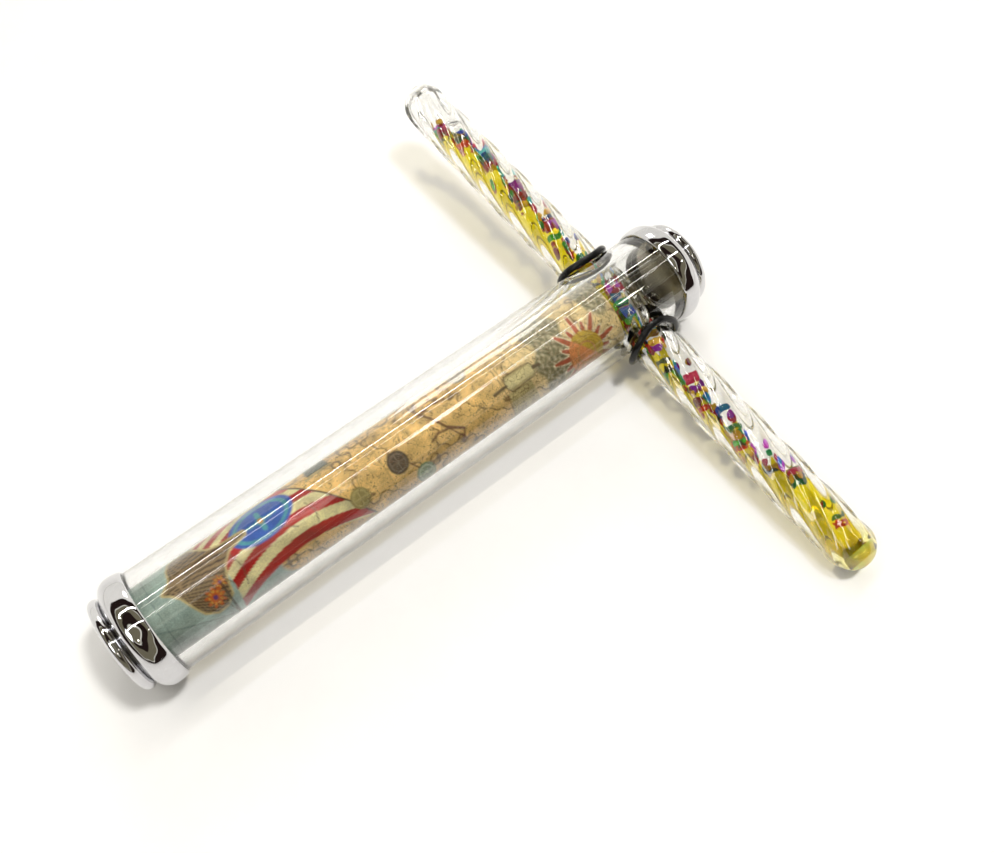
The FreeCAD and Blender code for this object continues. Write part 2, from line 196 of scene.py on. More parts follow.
def bend(centre, start, end, steps=14):
    """A quarter of an ellipse about centre, from start to end: start and end swing as cosine and sine."""
    a = np.linspace(0, math.pi / 2, steps)[:, None]
    centre, start, end = map(np.array, (centre, start, end))
    return centre + (start - centre) * np.cos(a) + (end - centre) * np.sin(a)


def softened(outline, size, closed=True):
    """Rounds the corners of an outline: each turns into a short parabola that starts and ends size away.

    Corners that turn by less than 20 degrees belong to curves and stay as they are.
    """
    before = np.roll(outline, 1, 0) - outline
    after = np.roll(outline, -1, 0) - outline
    reach_before = np.linalg.norm(before, axis=1)
    reach_after = np.linalg.norm(after, axis=1)
    cosine = -(before * after).sum(1) / (reach_before * reach_after + 1e-12)
    corner = cosine < math.cos(math.radians(20))
    if not closed:
        corner[[0, -1]] = False
    step_before = np.where(corner, np.minimum(size, 0.4 * reach_before) / (reach_before + 1e-12), 0)
    step_after = np.where(corner, np.minimum(size, 0.4 * reach_after) / (reach_after + 1e-12), 0)
    left = outline + before * step_before[:, None]
    right = outline + after * step_after[:, None]
    s = np.linspace(0, 1, 4)[None, :, None]
    curve = (1 - s) ** 2 * left[:, None] + 2 * s * (1 - s) * outline[:, None] + s ** 2 * right[:, None]
    curve = curve.reshape(-1, 2)
    apart = np.linalg.norm(curve - np.roll(curve, 1, 0), axis=1) > 1e-5
    return curve[apart]


def turned(outline, segments=160):
    """Carries an outline of (x, r) points round the barrel's axis: y = r cos a, z = r sin a."""
    a = np.linspace(0, 2 * math.pi, segments, endpoint=False)
    x, r = outline[:, :1], outline[:, 1:]
    return np.stack([x + 0 * a, r * np.cos(a), r * np.sin(a)], -1)


def along_wand(points):
    """Moves points made along +Z about the origin to the wand's place, with +Z to the raised tip."""
    x, y, z = points[..., 0], points[..., 1], points[..., 2]
    sine, cosine = math.sin(WAND_TILT), math.cos(WAND_TILT)
    return np.stack([WAND_X + x, y * sine + z * cosine, z * sine - y * cosine], -1)


def smooth(low, high, value):
    """0 below low, 1 above high, and a smooth step between them."""
    t = np.clip((value - low) / (high - low), 0, 1)
    return t * t * (3 - 2 * t)


# ---- Materials ----
def feed(tree, socket, value):
    """Links a socket to an input, or puts a plain value on it."""
    if isinstance(value, bpy.types.NodeSocket):
        tree.links.new(value, socket)
    else:
        socket.default_value = value


def put_node(tree, kind, settings=None, **inputs):
    """Adds a node. Inputs are values or sockets, named with an underscore for a space, or i0, i1 and so
    on by their number."""
    node = tree.nodes.new(kind)
    for key, value in (settings or {}).items():
        setattr(node, key, value)
    for key, value in inputs.items():
        numbered = key[0] == "i" and key[1:].isdigit()
        feed(tree, node.inputs[int(key[1:])] if numbered else node.inputs[key.replace("_", " ")], value)
    return node


def maths(tree, operation, a, b=0.0, c=0.0):
    """One Math node."""
    return put_node(tree, "ShaderNodeMath", {"operation": operation}, i0=a, i1=b, i2=c).outputs[0]


def mixed(tree, factor, a, b, blend="MIX"):
    """Mixes two colours."""
    node = put_node(tree, "ShaderNodeMix", {"data_type": "RGBA", "blend_type": blend})
    for index, value in ((0, factor), (6, a), (7, b)):
        feed(tree, node.inputs[index], value)
    return node.outputs[2]


def noise(tree, place, scale, detail, **more):
    """A noise texture's value."""
    return put_node(tree, "ShaderNodeTexNoise", Vector=place, Scale=scale, Detail=detail, **more).outputs[0]


def object_place(tree):
    """Object coordinates."""
    return put_node(tree, "ShaderNodeTexCoord").outputs["Object"]


def grey(tree, value):
    """A grey of that value."""
    return put_node(tree, "ShaderNodeCombineColor", i0=value, i1=value, i2=value).outputs[0]


def spread(tree, value, from_low, from_high, to_low, to_high):
    """Maps a value's range to another, and holds it at the ends."""
    node = put_node(tree, "ShaderNodeMapRange", i0=value, i1=from_low, i2=from_high, i3=to_low, i4=to_high)
    return node.outputs[0]


def new_group(name, inputs, outputs):
    """An empty shader node group with named float inputs and outputs."""
    group = bpy.data.node_groups.new(name, "ShaderNodeTree")
    for label, default in inputs:
        socket = group.interface.new_socket(label, in_out="INPUT", socket_type="NodeSocketFloat")
        socket.default_value = default
    for label in outputs:
        group.interface.new_socket(label, in_out="OUTPUT", socket_type="NodeSocketFloat")
    return group, group.nodes.new("NodeGroupInput").outputs, group.nodes.new("NodeGroupOutput").inputs


def scuffs_group():
    """Handling marks: broad smudges and fine crossed scratches, as a roughness and a height."""
    group, given, result = new_group(
        "Handling marks", [("Scale", 60.0), ("Roughness", 0.05), ("Marks", 0.08)], ["Roughness", "Height"]
    )
    place = object_place(group)
    smudge = noise(group, place, given[0], 4.0, Roughness=0.6)
    stretched = put_node(group, "ShaderNodeMapping", {"vector_type": "TEXTURE"}, Vector=place,
                         Scale=(9.0, 1.0, 1.3), Rotation=(0.3, 0.2, 0.5)).outputs[0]
    scratch = noise(group, stretched, maths(group, "MULTIPLY", given[0], 22.0), 2.0)
    line = spread(group, scratch, 0.62, 0.72, 0.0, 1.0)
    cloud = spread(group, smudge, 0.42, 0.68, 0.0, 1.0)
    amount = maths(group, "MULTIPLY_ADD", line, 0.5, cloud)
    group.links.new(maths(group, "MULTIPLY_ADD", amount, given[2], given[1]), result[0])
    group.links.new(maths(group, "MULTIPLY_ADD", line, -0.6, smudge), result[1])
    return group


def grain_group():
    """Paper and card grain: a value about 1 and a height, from the mean of two sizes of noise."""
    wanted = [("Scale", 900.0), ("Contrast", 0.3)]
    group, given, result = new_group("Paper grain", wanted, ["Value", "Height"])
    place = object_place(group)
    fine = noise(group, place, given[0], 3.0, Roughness=0.65)
    coarse = noise(group, place, maths(group, "MULTIPLY", given[0], 0.12), 3.0)
    both = maths(group, "MULTIPLY_ADD", coarse, 0.5, maths(group, "MULTIPLY", fine, 0.5))
    centred = maths(group, "SUBTRACT", both, 0.5)
    value = maths(group, "MULTIPLY_ADD", centred, maths(group, "MULTIPLY", given[1], 2.0), 1.0)
    group.links.new(value, result[0])
    group.links.new(both, result[1])
    return group


def flow_group():
    """Slow waviness of drawn acrylic, as a height: broad noise, and a share of finer noise."""
    wanted = [("Scale", 90.0), ("Streaks", 0.3)]
    group, given, result = new_group("Drawn waviness", wanted, ["Height"])
    place = object_place(group)
    wave = noise(group, place, given[0], 1.0)
    streak = noise(group, place, maths(group, "MULTIPLY", given[0], 9.0), 2.0)
    group.links.new(maths(group, "MULTIPLY_ADD", streak, given[1], wave), result[0])
    return group


def group_node(tree, group, **inputs):
    """Places a shared node group in a material with its own values."""
    node = tree.nodes.new("ShaderNodeGroup")
    node.node_tree = bpy.data.node_groups[group]
    for key, value in inputs.items():
        node.inputs[key].default_value = value
    return node.outputs


def bumped(tree, height, strength, distance):
    """A Bump node fed by a height."""
    return put_node(tree, "ShaderNodeBump", Height=height, Strength=strength, Distance=distance).outputs[0]


def new_material(name):
    """A material with only its output node, ready to be filled."""
    material = bpy.data.materials.new(name)
    material.use_nodes = True
    tree = material.node_tree
    tree.nodes.clear()
    return material, tree, tree.nodes.new("ShaderNodeOutputMaterial")


def four(colour):
    """A colour with full alpha."""
    return (*colour, 1.0)


def clear_material(name, colour, ior, shade, wave=0.02, scale=90.0, streaks=0.3, polish=0.0):
    """Smooth clear plastic or liquid, with the waviness of a drawn or moulded wall.

    Light passes to what is inside and below it tinted by shade, once for each wall that it crosses.
    polish is the weight of a thin coat, which keeps long light lines clean.
    """
    material, tree, out = new_material(name)
    height = group_node(tree, "Drawn waviness", Scale=scale, Streaks=streaks)[0]
    glass = put_node(tree, "ShaderNodeBsdfPrincipled", Base_Color=four(colour), IOR=ior, Roughness=0.0,
                     Normal=bumped(tree, height, wave, 0.001))
    glass.inputs["Transmission Weight"].default_value = 1.0
    if polish:
        glass.inputs["Coat Weight"].default_value = polish
        glass.inputs["Coat Roughness"].default_value = COAT_ROUGHNESS
    see_through = put_node(tree, "ShaderNodeBsdfTransparent", Color=four(shade))
    path = put_node(tree, "ShaderNodeLightPath")
    both = put_node(tree, "ShaderNodeMixShader", i0=path.outputs["Is Shadow Ray"], i1=glass.outputs[0],
                    i2=see_through.outputs[0])
    tree.links.new(both.outputs[0], out.inputs["Surface"])
    return material


def tint_tip(material, clear, colour):
    """Colours clear acrylic towards the wand's low tip, where the plug and the liquid fill its end."""
    tree = material.node_tree
    along = put_node(tree, "ShaderNodeSeparateXYZ", Vector=object_place(tree)).outputs["Y"]
    tint = mixed(tree, spread(tree, along, -0.149, -0.134, 1.0, 0.0), four(clear), four(colour))
    tree.links.new(tint, tree.nodes["Principled BSDF"].inputs["Base Color"])


def chrome_material(name, colour, roughness):
    """Bright plating with faint smudges and hairline scratches."""
    material, tree, out = new_material(name)
    marks = group_node(tree, "Handling marks", Scale=70.0, Roughness=roughness, Marks=0.05)
    tone = spread(tree, marks["Height"], 0.35, 0.7, 0.0, 1.0)
    darker = four([c * 0.86 for c in colour])
    plate = put_node(tree, "ShaderNodeBsdfPrincipled", Base_Color=mixed(tree, tone, four(colour), darker),
                     Metallic=1.0, Roughness=marks["Roughness"],
                     Normal=bumped(tree, marks["Height"], 0.03, 0.0002))
    tree.links.new(plate.outputs[0], out.inputs["Surface"])
    return material


def rubber_material(name, colour):
    """Black moulded rubber: sheen, fine pitting and pale dust in patches."""
    material, tree, out = new_material(name)
    grain = group_node(tree, "Paper grain", Scale=2200.0, Contrast=0.5)
    marks = group_node(tree, "Handling marks", Scale=160.0, Roughness=0.13, Marks=0.2)
    dust = spread(tree, marks["Roughness"], 0.32, 0.6, 0.0, 0.07)
    body = mixed(tree, dust, four(colour), (0.07, 0.066, 0.058, 1.0))
    skin = put_node(tree, "ShaderNodeBsdfPrincipled", Base_Color=body, Roughness=marks["Roughness"],
                    Specular_IOR_Level=0.32, Normal=bumped(tree, grain["Height"], 0.15, 0.0003))
    tree.links.new(skin.outputs[0], out.inputs["Surface"])
    return material


def card_material(name, colour, roughness=0.8, depth=0.4, scale=900.0, contrast=0.3, milky=0.0):
    """Card, foam, tape or milky resin: grainy colour and a rough face."""
    material, tree, out = new_material(name)
    grain = group_node(tree, "Paper grain", Scale=scale, Contrast=contrast)
    body = mixed(tree, 1.0, four(colour), grey(tree, grain["Value"]), "MULTIPLY")
    rough = spread(tree, grain["Value"], 0.6, 1.4, roughness + 0.1, roughness - 0.1)
    face = put_node(tree, "ShaderNodeBsdfPrincipled", Base_Color=body, Roughness=rough,
                    Normal=bumped(tree, grain["Height"], depth, 0.0003))
    face.inputs["Subsurface Weight"].default_value = milky
    face.inputs["Subsurface Scale"].default_value = 0.004
    tree.links.new(face.outputs[0], out.inputs["Surface"])
    return material


def foil_material(name, colour, second, metallic):
    """Coloured foil: a metal sheen that drifts to a second tint, fine rolling lines and a clear coat."""
    material, tree, out = new_material(name)
    place = object_place(tree)
    drift = noise(tree, place, 260.0, 2.0)
    tint = mixed(tree, spread(tree, drift, 0.42, 0.62, 0.0, 1.0), four(colour), four(second))
    lines = put_node(tree, "ShaderNodeTexWave", Vector=place, Scale=900.0, Distortion=3.0)
    marks = group_node(tree, "Handling marks", Scale=220.0, Roughness=0.2, Marks=0.12)
    foil = put_node(tree, "ShaderNodeBsdfPrincipled", Base_Color=tint, Metallic=metallic,
                    Roughness=marks["Roughness"], Coat_Weight=0.6, Coat_Roughness=0.05,
                    Normal=bumped(tree, lines.outputs["Fac"], 0.12, 0.0002))
    tree.links.new(foil.outputs[0], out.inputs["Surface"])
    return material


def dress(piece, *materials):
    """Gives a piece its materials, in the order of its faces' material numbers."""
    piece.data.materials.clear()
    for material in materials:
        piece.data.materials.append(material)


def stand_for(piece, node, body):
    """Hides a new piece's CAD node and lets the piece ride on that body."""
    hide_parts(node)
    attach(piece, body)


def redress(node, material):
    """Gives a carried-over CAD node a finished material."""
    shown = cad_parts[node]
    if not shown.material_slots:
        shown.data.materials.append(material)
    for slot in shown.material_slots:
        slot.material = material


# ---- Settings that a user would change ----
class BarrelSettings(bpy.types.PropertyGroup):
    """The clear barrel."""

    outer_radius: FloatProperty(name="Outer radius", description="Radius of the barrel's outside",
                                default=0.022225, min=0.005, unit="LENGTH")
    bore_radius: FloatProperty(name="Bore radius", description="Radius of the barrel's bore",
                               default=0.015875, min=0.002, unit="LENGTH")
    refraction: FloatProperty(name="Refractive index", description="How strongly the acrylic bends light",
                              default=1.49, min=1.0, max=2.0)
    shade: FloatVectorProperty(name="Shade", description="Light that one wall lets through behind it",
                               default=(0.87, 0.85, 0.79), subtype="COLOR", size=3, min=0.0, max=1.0)


class CapSettings(bpy.types.PropertyGroup):
    """The chrome caps and bezels."""

    chrome: FloatVectorProperty(name="Chrome", description="Colour of the plating",
                                default=(0.67, 0.67, 0.69), subtype="COLOR", size=3, min=0.0, max=1.0)
    roughness: FloatProperty(name="Roughness", description="How blurred the plating's reflections are",
                             default=0.035, min=0.0, max=1.0)
    edge_rounding: FloatProperty(name="Edge rounding", description="How far corners are rounded off",
                                 default=0.00025, min=0.0, unit="LENGTH")


class PictureSettings(bpy.types.PropertyGroup):
    """The printed picture round the tube."""

    sea: FloatVectorProperty(name="Sea", description="Ground colour of the sea", default=(0.36, 0.49, 0.47),
                             subtype="COLOR", size=3, min=0.0, max=1.0)
    parchment: FloatVectorProperty(name="Parchment", description="Ground colour of the old map",
                                   default=(0.90, 0.61, 0.23), subtype="COLOR", size=3, min=0.0, max=1.0)
    red: FloatVectorProperty(name="Sail red", description="Red stripes of the sail",
                             default=(0.44, 0.008, 0.006), subtype="COLOR", size=3, min=0.0, max=1.0)
    cream: FloatVectorProperty(name="Sail cream", description="Cream stripes of the sail",
                               default=(0.95, 0.88, 0.50), subtype="COLOR", size=3, min=0.0, max=1.0)
    blue: FloatVectorProperty(name="Emblem blue", description="Oval on the sail", default=(0.03, 0.11, 0.50),
                              subtype="COLOR", size=3, min=0.0, max=1.0)


class RingSettings(bpy.types.PropertyGroup):
    """The rubber O-rings round the wand."""

    upper_gap: FloatProperty(name="Upper gap", description="Between the barrel and the upper ring",
                             default=0.0003, min=0.0, unit="LENGTH")
    lower_gap: FloatProperty(name="Lower gap", description="Between the barrel and the lower ring",
                             default=0.002, min=0.0, unit="LENGTH")
    rubber: FloatVectorProperty(name="Rubber", description="Colour of the rubber",
                                default=(0.0025, 0.0025, 0.003), subtype="COLOR", size=3, min=0.0, max=1.0)


class WandSettings(bpy.types.PropertyGroup):
    """The twisted wand, its liquid and its glitter."""

    lobes: IntProperty(name="Lobes", description="Twisted lobes round the wand", default=7, min=3, max=12)
    pitch: FloatProperty(name="Pitch", description="Length in which a lobe goes once round",
                         default=0.160, min=0.02, unit="LENGTH")
    liquid: FloatVectorProperty(name="Liquid", description="Colour of the yellow liquid",
                                default=(0.84, 0.70, 0.012), subtype="COLOR", size=3, min=0.0, max=1.0)
    flakes: IntProperty(name="Flakes", description="Glitter pieces of each colour", default=22, min=1, max=60)
    seed: IntProperty(name="Seed", description="Number that fixes how the glitter lies", default=41, min=0)


class StageSettings(bpy.types.PropertyGroup):
    """Floor, lights and camera."""

    floor: FloatVectorProperty(name="Floor", description="Colour of the table", default=(0.90, 0.895, 0.885),
                               subtype="COLOR", size=3, min=0.0, max=1.0)
    key_power: FloatProperty(name="Key light", description="Power of the main light, in watts",
                             default=9.8, min=0.0, unit="POWER")
    strip_power: FloatProperty(name="Strip lights", description="Power of each long ceiling light, in watts",
                               default=5.0, min=0.0, unit="POWER")


def settings():
    """All the settings together."""
    return bpy.context.scene.kaleidoscope


# ---- Shapes ----
def hole_frame(r, x, angle):
    """Points at x from the wand's axis and at an angle round the barrel, in the wand's own frame."""
    return np.stack(np.broadcast_arrays(x, r * np.sin(angle), r * np.cos(angle)), -1)


def drilled_wall(outer_r, bore_r, side, reach, count=64):
    """Half of the barrel's wall round one hole.

    Each row is a closed loop of points round the hole. On the outside it starts as the edge of a
    rectangle, reach either way along the barrel and a quarter turn either way round it, and
    closes in evenly on the hole's rim. It goes through the wall along the hole and opens out the
    same way in the bore. The rim is h cos a along and arcsine(h sin a / r) round.
    """
    s = np.linspace(-1, 1, count, endpoint=False)
    one = np.ones(count)
    edge_x = np.concatenate([one, -s, -one, s]) * reach
    edge_turn = np.concatenate([s, one, -s, -one]) * math.pi / 2
    a = math.pi / 4 * np.concatenate([s, s + 2, s + 4, s + 6])
    rim_x = HOLE_R * np.cos(a)
    rows = []
    for r, shares in ((outer_r, np.linspace(1, 0, 24) ** 1.3), (bore_r, np.linspace(0, 1, 18) ** 1.3)):
        rim_turn = np.arcsin(HOLE_R * np.sin(a) / r)
        share = shares[:, None]
        x = rim_x + (edge_x - rim_x) * share
        rows.append(hole_frame(r, x, rim_turn + (edge_turn - rim_turn) * share))
    loops = np.concatenate(rows)
    loops[..., 2] *= side
    return along_wand(loops)


def barrel_points(outer_r, bore_r):
    """The barrel as four grids: a long plain part, a short one, and a drilled wall on each side."""
    reach = 18.0
    turn = np.linspace(-math.pi / 2, 1.5 * math.pi, 257)[:-1:2]
    grids = []
    for side in (1, -1):
        grids.append((drilled_wall(outer_r, bore_r, side, reach), False))
    soft = 0.35
    for end, cut in ((BARREL_ENDS[0], WAND_X - reach), (BARREL_ENDS[1], WAND_X + reach)):
        inward = math.copysign(soft, cut - end)
        steps = np.linspace(cut, end + inward, 14)
        x = np.concatenate([steps, [end, end], steps[::-1]])
        r = np.concatenate([steps * 0 + outer_r, [outer_r - soft, bore_r + soft], steps * 0 + bore_r])
        grids.append((along_wand(hole_frame(r[:, None], x[:, None] - WAND_X, turn[None, :])), False))
    return joined(grids)


def cap_bead():
    """Outline of a cap's outside, from its groove over the bead's crest to its mouth."""
    front = bend((BEAD_CREST, GROOVE_R), (BEAD_START, GROOVE_R), (BEAD_CREST, BEAD_R), 18)
    back = bend((BEAD_CREST, LIP_R), (BEAD_CREST, BEAD_R), (CAP_MOUTH, LIP_R), 16)
    return np.concatenate([front, back[1:]])


def eyepiece_cap_outline():
    """Bead, socket for the barrel, spigot, flared way through, lens pocket and nose."""
    inside = [(CAP_MOUTH, SOCKET_R), (BARREL_ENDS[0], SOCKET_R), (BARREL_ENDS[0], SPIGOT_R), (14.0, SPIGOT_R),
              (14.0, 13.6), (8.4, WASHER_R), (5.9, WASHER_R), (5.9, LENS_SEAT_R), (NOSE_X, LENS_SEAT_R),
              (NOSE_X, NOSE_R), (BEAD_START, NOSE_R)]
    return np.concatenate([cap_bead(), inside])


def objective_cap_outline():
    """Bead, socket, seat for the mirror disc, hollow and closed floor, on the eyepiece's x."""
    inside = [(CAP_MOUTH, SOCKET_R), (BARREL_ENDS[0], SOCKET_R), (BARREL_ENDS[0], 15.85), (10.4, 15.85),
              (10.4, 13.5), (5.2, 13.5), (5.2, 0.0)]
    nose = [(NOSE_X, 0.0), (NOSE_X, NOSE_R), (BEAD_START, NOSE_R)]
    return np.concatenate([nose, cap_bead(), inside])


def bezel_rim():
    """Outline of a bezel's rounded rim, from its face to its back."""
    a = np.linspace(math.pi, 0, 33)
    return np.stack([RIM_R - DISH + RIM_R * np.cos(a), RIM_CENTRE_R + RIM_R * np.sin(a)], -1)


def eyepiece_bezel_outline():
    """Rim, recess over the cap's nose, eye hole, and a face that sinks in a shallow arc."""
    back = [(3.6, RECESS_R), (NOSE_X, RECESS_R), (NOSE_X, EYE_R)]
    fall = RIM_CENTRE_R - EYE_R
    dish_r = (fall ** 2 + DISH ** 2) / (2 * DISH)
    r = np.linspace(EYE_R, RIM_CENTRE_R, 18)[:-1]
    dish = np.stack([dish_r - DISH - np.sqrt(dish_r ** 2 - (RIM_CENTRE_R - r) ** 2), r], -1)
    return np.concatenate([bezel_rim(), back, dish])


def objective_bezel_outline():
    """The same rim with a plain flat face, on the eyepiece's x."""
    return np.concatenate([[(-DISH, 0.0)], bezel_rim(), [(3.6, RECESS_R), (NOSE_X, RECESS_R), (NOSE_X, 0.0)]])


def saddle_ring(side, gap, outer_r):
    """An O-ring bent to the barrel: its middle line keeps one distance from the wand's axis and
    one from the barrel's, and its section is a circle across that line."""
    a = np.linspace(0, 2 * math.pi, 144, endpoint=False)[:, None]
    b = np.linspace(0, 2 * math.pi, 28, endpoint=False)[None, :, None]
    round_barrel = outer_r + gap + RING_WIRE_R
    height = side * np.sqrt(round_barrel ** 2 - (RING_ROUND_WAND * np.sin(a)) ** 2)
    outward = np.concatenate([np.cos(a), np.sin(a), 0 * a], 1)
    rise = -RING_ROUND_WAND ** 2 * np.sin(a) * np.cos(a) / height
    tangent = np.concatenate([-RING_ROUND_WAND * np.sin(a), RING_ROUND_WAND * np.cos(a), rise], 1)
    tangent /= np.linalg.norm(tangent, axis=1)[:, None]
    across = np.cross(tangent, outward)
    centre = outward * RING_ROUND_WAND + np.concatenate([0 * a, 0 * a, height], 1)
    wire = outward[:, None] * np.cos(b) + across[:, None] * np.sin(b)
    return along_wand(centre[:, None] + RING_WIRE_R * wire)


def capsule_rows(radius, half, low_r, high_r, body, dome):
    """Heights and radii down a capsule, half long each way, that stops at low_r and high_r at its ends."""
    straight = half - radius
    low = np.linspace(-math.acos(low_r / radius), 0, dome)[:-1]
    high = np.linspace(0, math.acos(high_r / radius), dome)[1:]
    z = np.concatenate([radius * np.sin(low) - straight, np.linspace(-straight, straight, body),
                        straight + radius * np.sin(high)])
    r = np.concatenate([radius * np.cos(low), np.full(body, radius), radius * np.cos(high)])
    return z, r


def wand_skin(lobes, pitch):
    """The wand's outside, from the plug hole to the raised tip: a capsule whose radius swings with
    cos(lobes x (angle - 2 pi z / pitch)), and the swing runs out smoothly towards both ends."""
    z, envelope = capsule_rows(WAND_MEAN_R, HALF_WAND, PLUG_R, 0.0, 300, 22)
    z, envelope = z[:, None], envelope[:, None]
    angle = np.linspace(0, 2 * math.pi, 16 * lobes, endpoint=False)[None, :]
    ease = smooth(0, 16.0, HALF_WAND - np.abs(z)) * envelope / WAND_MEAN_R
    r = envelope + LOBE_SWING * ease * np.cos(lobes * (angle - 2 * math.pi * z / pitch))
    return np.stack([r * np.cos(angle), r * np.sin(angle), z + 0 * angle], -1)


def wand_shell_points(lobes, pitch):
    """The wand's acrylic as one closed surface: down its outside from the raised tip, in through the
    plug hole, and up the round-ended bore. Returns the points and which rows touch the liquid."""
    skin = wand_skin(lobes, pitch)[::-1]
    angle = np.linspace(0, 2 * math.pi, skin.shape[1], endpoint=False)[None, :]
    z, r = capsule_rows(WAND_BORE_R, BORE_TOP, PLUG_R, 0.0, 97, 14)
    z, r = z[:, None], r[:, None]
    bore = np.stack([r * np.cos(angle), r * np.sin(angle), z + 0 * angle], -1)
    wetted = np.concatenate([np.zeros(len(skin)), (z[:, 0] < LIQUID_TOP).astype(float)])
    return along_wand(np.concatenate([skin, bore])), wetted


def boundary(z):
    """Distance of the border between the yellow and the clear liquid from the wand's axis, at height z.

    All is yellow at the low tip, over a third of the bore's width in the lower half, two thirds in
    the upper half, and nothing at the raised tip.
    """
    low_tip = 1 - smooth(-121, -97, z)
    upper = smooth(-14, 26, z)
    raised_tip = smooth(112, 133, z)
    r = WAND_BORE_R
    return (-1.8 + 4.6 * upper) * (1 - low_tip) + (r + 0.6) * low_tip - (r + 3.0) * raised_tip


def liquid_points(yellow, low, high, rows=150, columns=72):
    """One of the two liquids: the bore's circle, held back to its own side of the border.

    A point of the section is rho (cos a, sin a), along and beside the border's normal. Its first
    part is kept below the border for the yellow liquid and above it for the clear one.
    """
    end = WAND_BORE_R - 0.02
    straight = BORE_TOP - WAND_BORE_R
    z = np.linspace(low, high, rows)[:, None]
    beyond = np.maximum(0, np.abs(z) - straight) * (z < 0)
    rho = np.sqrt(np.maximum(0, end ** 2 - beyond ** 2))
    a = np.linspace(0, 2 * math.pi, columns, endpoint=False)[None, :]
    border = np.clip(boundary(z), -rho, rho)
    along = rho * np.cos(a)
    beside = rho * np.sin(a)
    held = along > border - 0.01 if yellow else along < border + 0.01
    chord = np.sqrt(np.maximum(0, rho ** 2 - border ** 2))
    beside = np.where(held, np.clip(beside, -chord, chord), beside)
    along = np.where(held, border + (-0.01 if yellow else 0.01), along)
    section = along[..., None] * ACROSS + beside[..., None] * BESIDE
    solid = np.concatenate([section, z[..., None] + 0 * along[..., None]], -1)
    ends = [np.repeat(solid[i].mean(0)[None, None], columns, 1) for i in (0, -1)]
    return along_wand(np.concatenate([ends[0], solid, ends[1]]))


def bubble_points(across, down, z):
    """An air bubble in the wand: an egg, longer along the wand and fuller towards the raised tip,
    whose points further out than the bore are drawn in to it."""
    t = np.linspace(0, math.pi, 24)[:, None]
    a = np.linspace(0, 2 * math.pi, 40, endpoint=False)[None, :]
    r = 4.0 * np.sin(t) * (1 + 0.12 * np.cos(t))
    section = (across + r * np.cos(a))[..., None] * ACROSS + (down + r * np.sin(a))[..., None] * BESIDE
    reach = np.linalg.norm(section, axis=-1, keepdims=True)
    section *= np.minimum(1, (WAND_BORE_R - 0.15) / np.maximum(reach, 1e-9))
    return along_wand(np.concatenate([section, (z + 5.0 * np.cos(t) + 0 * a)[..., None]], -1))


def plug_points():
    """The plug in the wand's low tip: a short rod whose ends follow the wand's skin and its bore."""
    fit = PLUG_R - 0.03
    r = np.linspace(0, fit, 9)
    skin_end = -(HALF_WAND - WAND_MEAN_R) - np.sqrt(WAND_MEAN_R ** 2 - r ** 2) + 0.03
    bore_end = -(BORE_TOP - WAND_BORE_R) - np.sqrt(WAND_BORE_R ** 2 - r ** 2) - 0.05
    outline = np.concatenate([np.stack([skin_end, r], -1), np.stack([bore_end, r], -1)[::-1]])
    rounded = softened(outline, 0.3, closed=False)
    a = np.linspace(0, 2 * math.pi, 48, endpoint=False)
    z, r = rounded[:, :1], rounded[:, 1:]
    return along_wand(np.stack([r * np.cos(a), r * np.sin(a), z + 0 * a], -1))


def flake_outline(kind):
    """Points round a flake one unit across, in its own plane.

    Squares and strips are superellipses, dots are circles, stars swing between two radii, and moons
    are ellipses bent into a crescent.
    """
    count = 20 if kind == "star" else 16
    a = np.linspace(0, 2 * math.pi, count, endpoint=False) + (0 if kind == "star" else math.pi / count)
    cosine, sine = np.cos(a), np.sin(a)
    if kind in ("square", "strip"):
        r = (np.abs(cosine) ** 5 + np.abs(sine) ** 5) ** -0.2
        wide = 0.5 if kind == "strip" else 0.82
        return np.stack([r * cosine, wide * r * sine], -1) / 2
    if kind == "star":
        r = np.where(np.arange(count) % 4 == 0, 1.0, np.where(np.arange(count) % 4 == 2, 0.42, 0.66))
        return np.stack([r * cosine, r * sine], -1) / 2
    if kind == "moon":
        return np.stack([cosine, 0.42 * sine + 0.55 * cosine ** 2 - 0.3], -1) / 2
    return np.stack([cosine, sine], -1) / 2


def flake_points(kind, sizes, centres, turns, curls, thickness=0.12):
    """Every flake of one kind: a thin lens over its outline, rolled to a curve, turned and set in place.

    sizes and curls have one value for each flake, centres one point and turns one 3 x 3 rotation.
    """
    rim = flake_outline(kind)
    count = len(rim)
    rings = np.array([0.0, 0.55, 0.9, 1.0, 0.9, 0.55, 0.0])[:, None, None]
    face = np.array([1, 1, 0.8, 0, -0.8, -1, -1])[:, None] * thickness / 2
    flat = np.broadcast_to(rim * rings, (7, count, 2)).reshape(-1, 2)
    lift = np.broadcast_to(face, (7, count)).reshape(-1)
    size = sizes[:, None]
    x, y = flat[None, :, 0] * size, flat[None, :, 1] * size
    z = lift[None] + curls[:, None] * x ** 2 / size
    local = np.stack([x, y, z], -1)
    points = np.einsum("nij,npj->npi", turns, local) + centres[:, None]
    one = grid_quads(7, count, False, True)
    faces = one[None] + (np.arange(len(sizes)) * 7 * count)[:, None, None]
    return along_wand(points.reshape(-1, 3)), faces.reshape(-1, 4)


def lying(rng, count):
    """Rotations of flakes that face the sight line loosely, each turned by its own angle in its plane."""
    normal = FACING + rng.normal(0, 0.3, (count, 3))
    normal /= np.linalg.norm(normal, axis=1)[:, None]
    spin = rng.choice([0.0, math.pi / 2], count) + rng.normal(0, 0.4, count)
    side = np.cross(normal, np.array([0.0, 0.0, 1.0]))
    side /= np.linalg.norm(side, axis=1)[:, None]
    up = np.cross(normal, side)
    c, s = np.cos(spin)[:, None], np.sin(spin)[:, None]
    return np.stack([side * c + up * s, up * c - side * s, normal], -1)


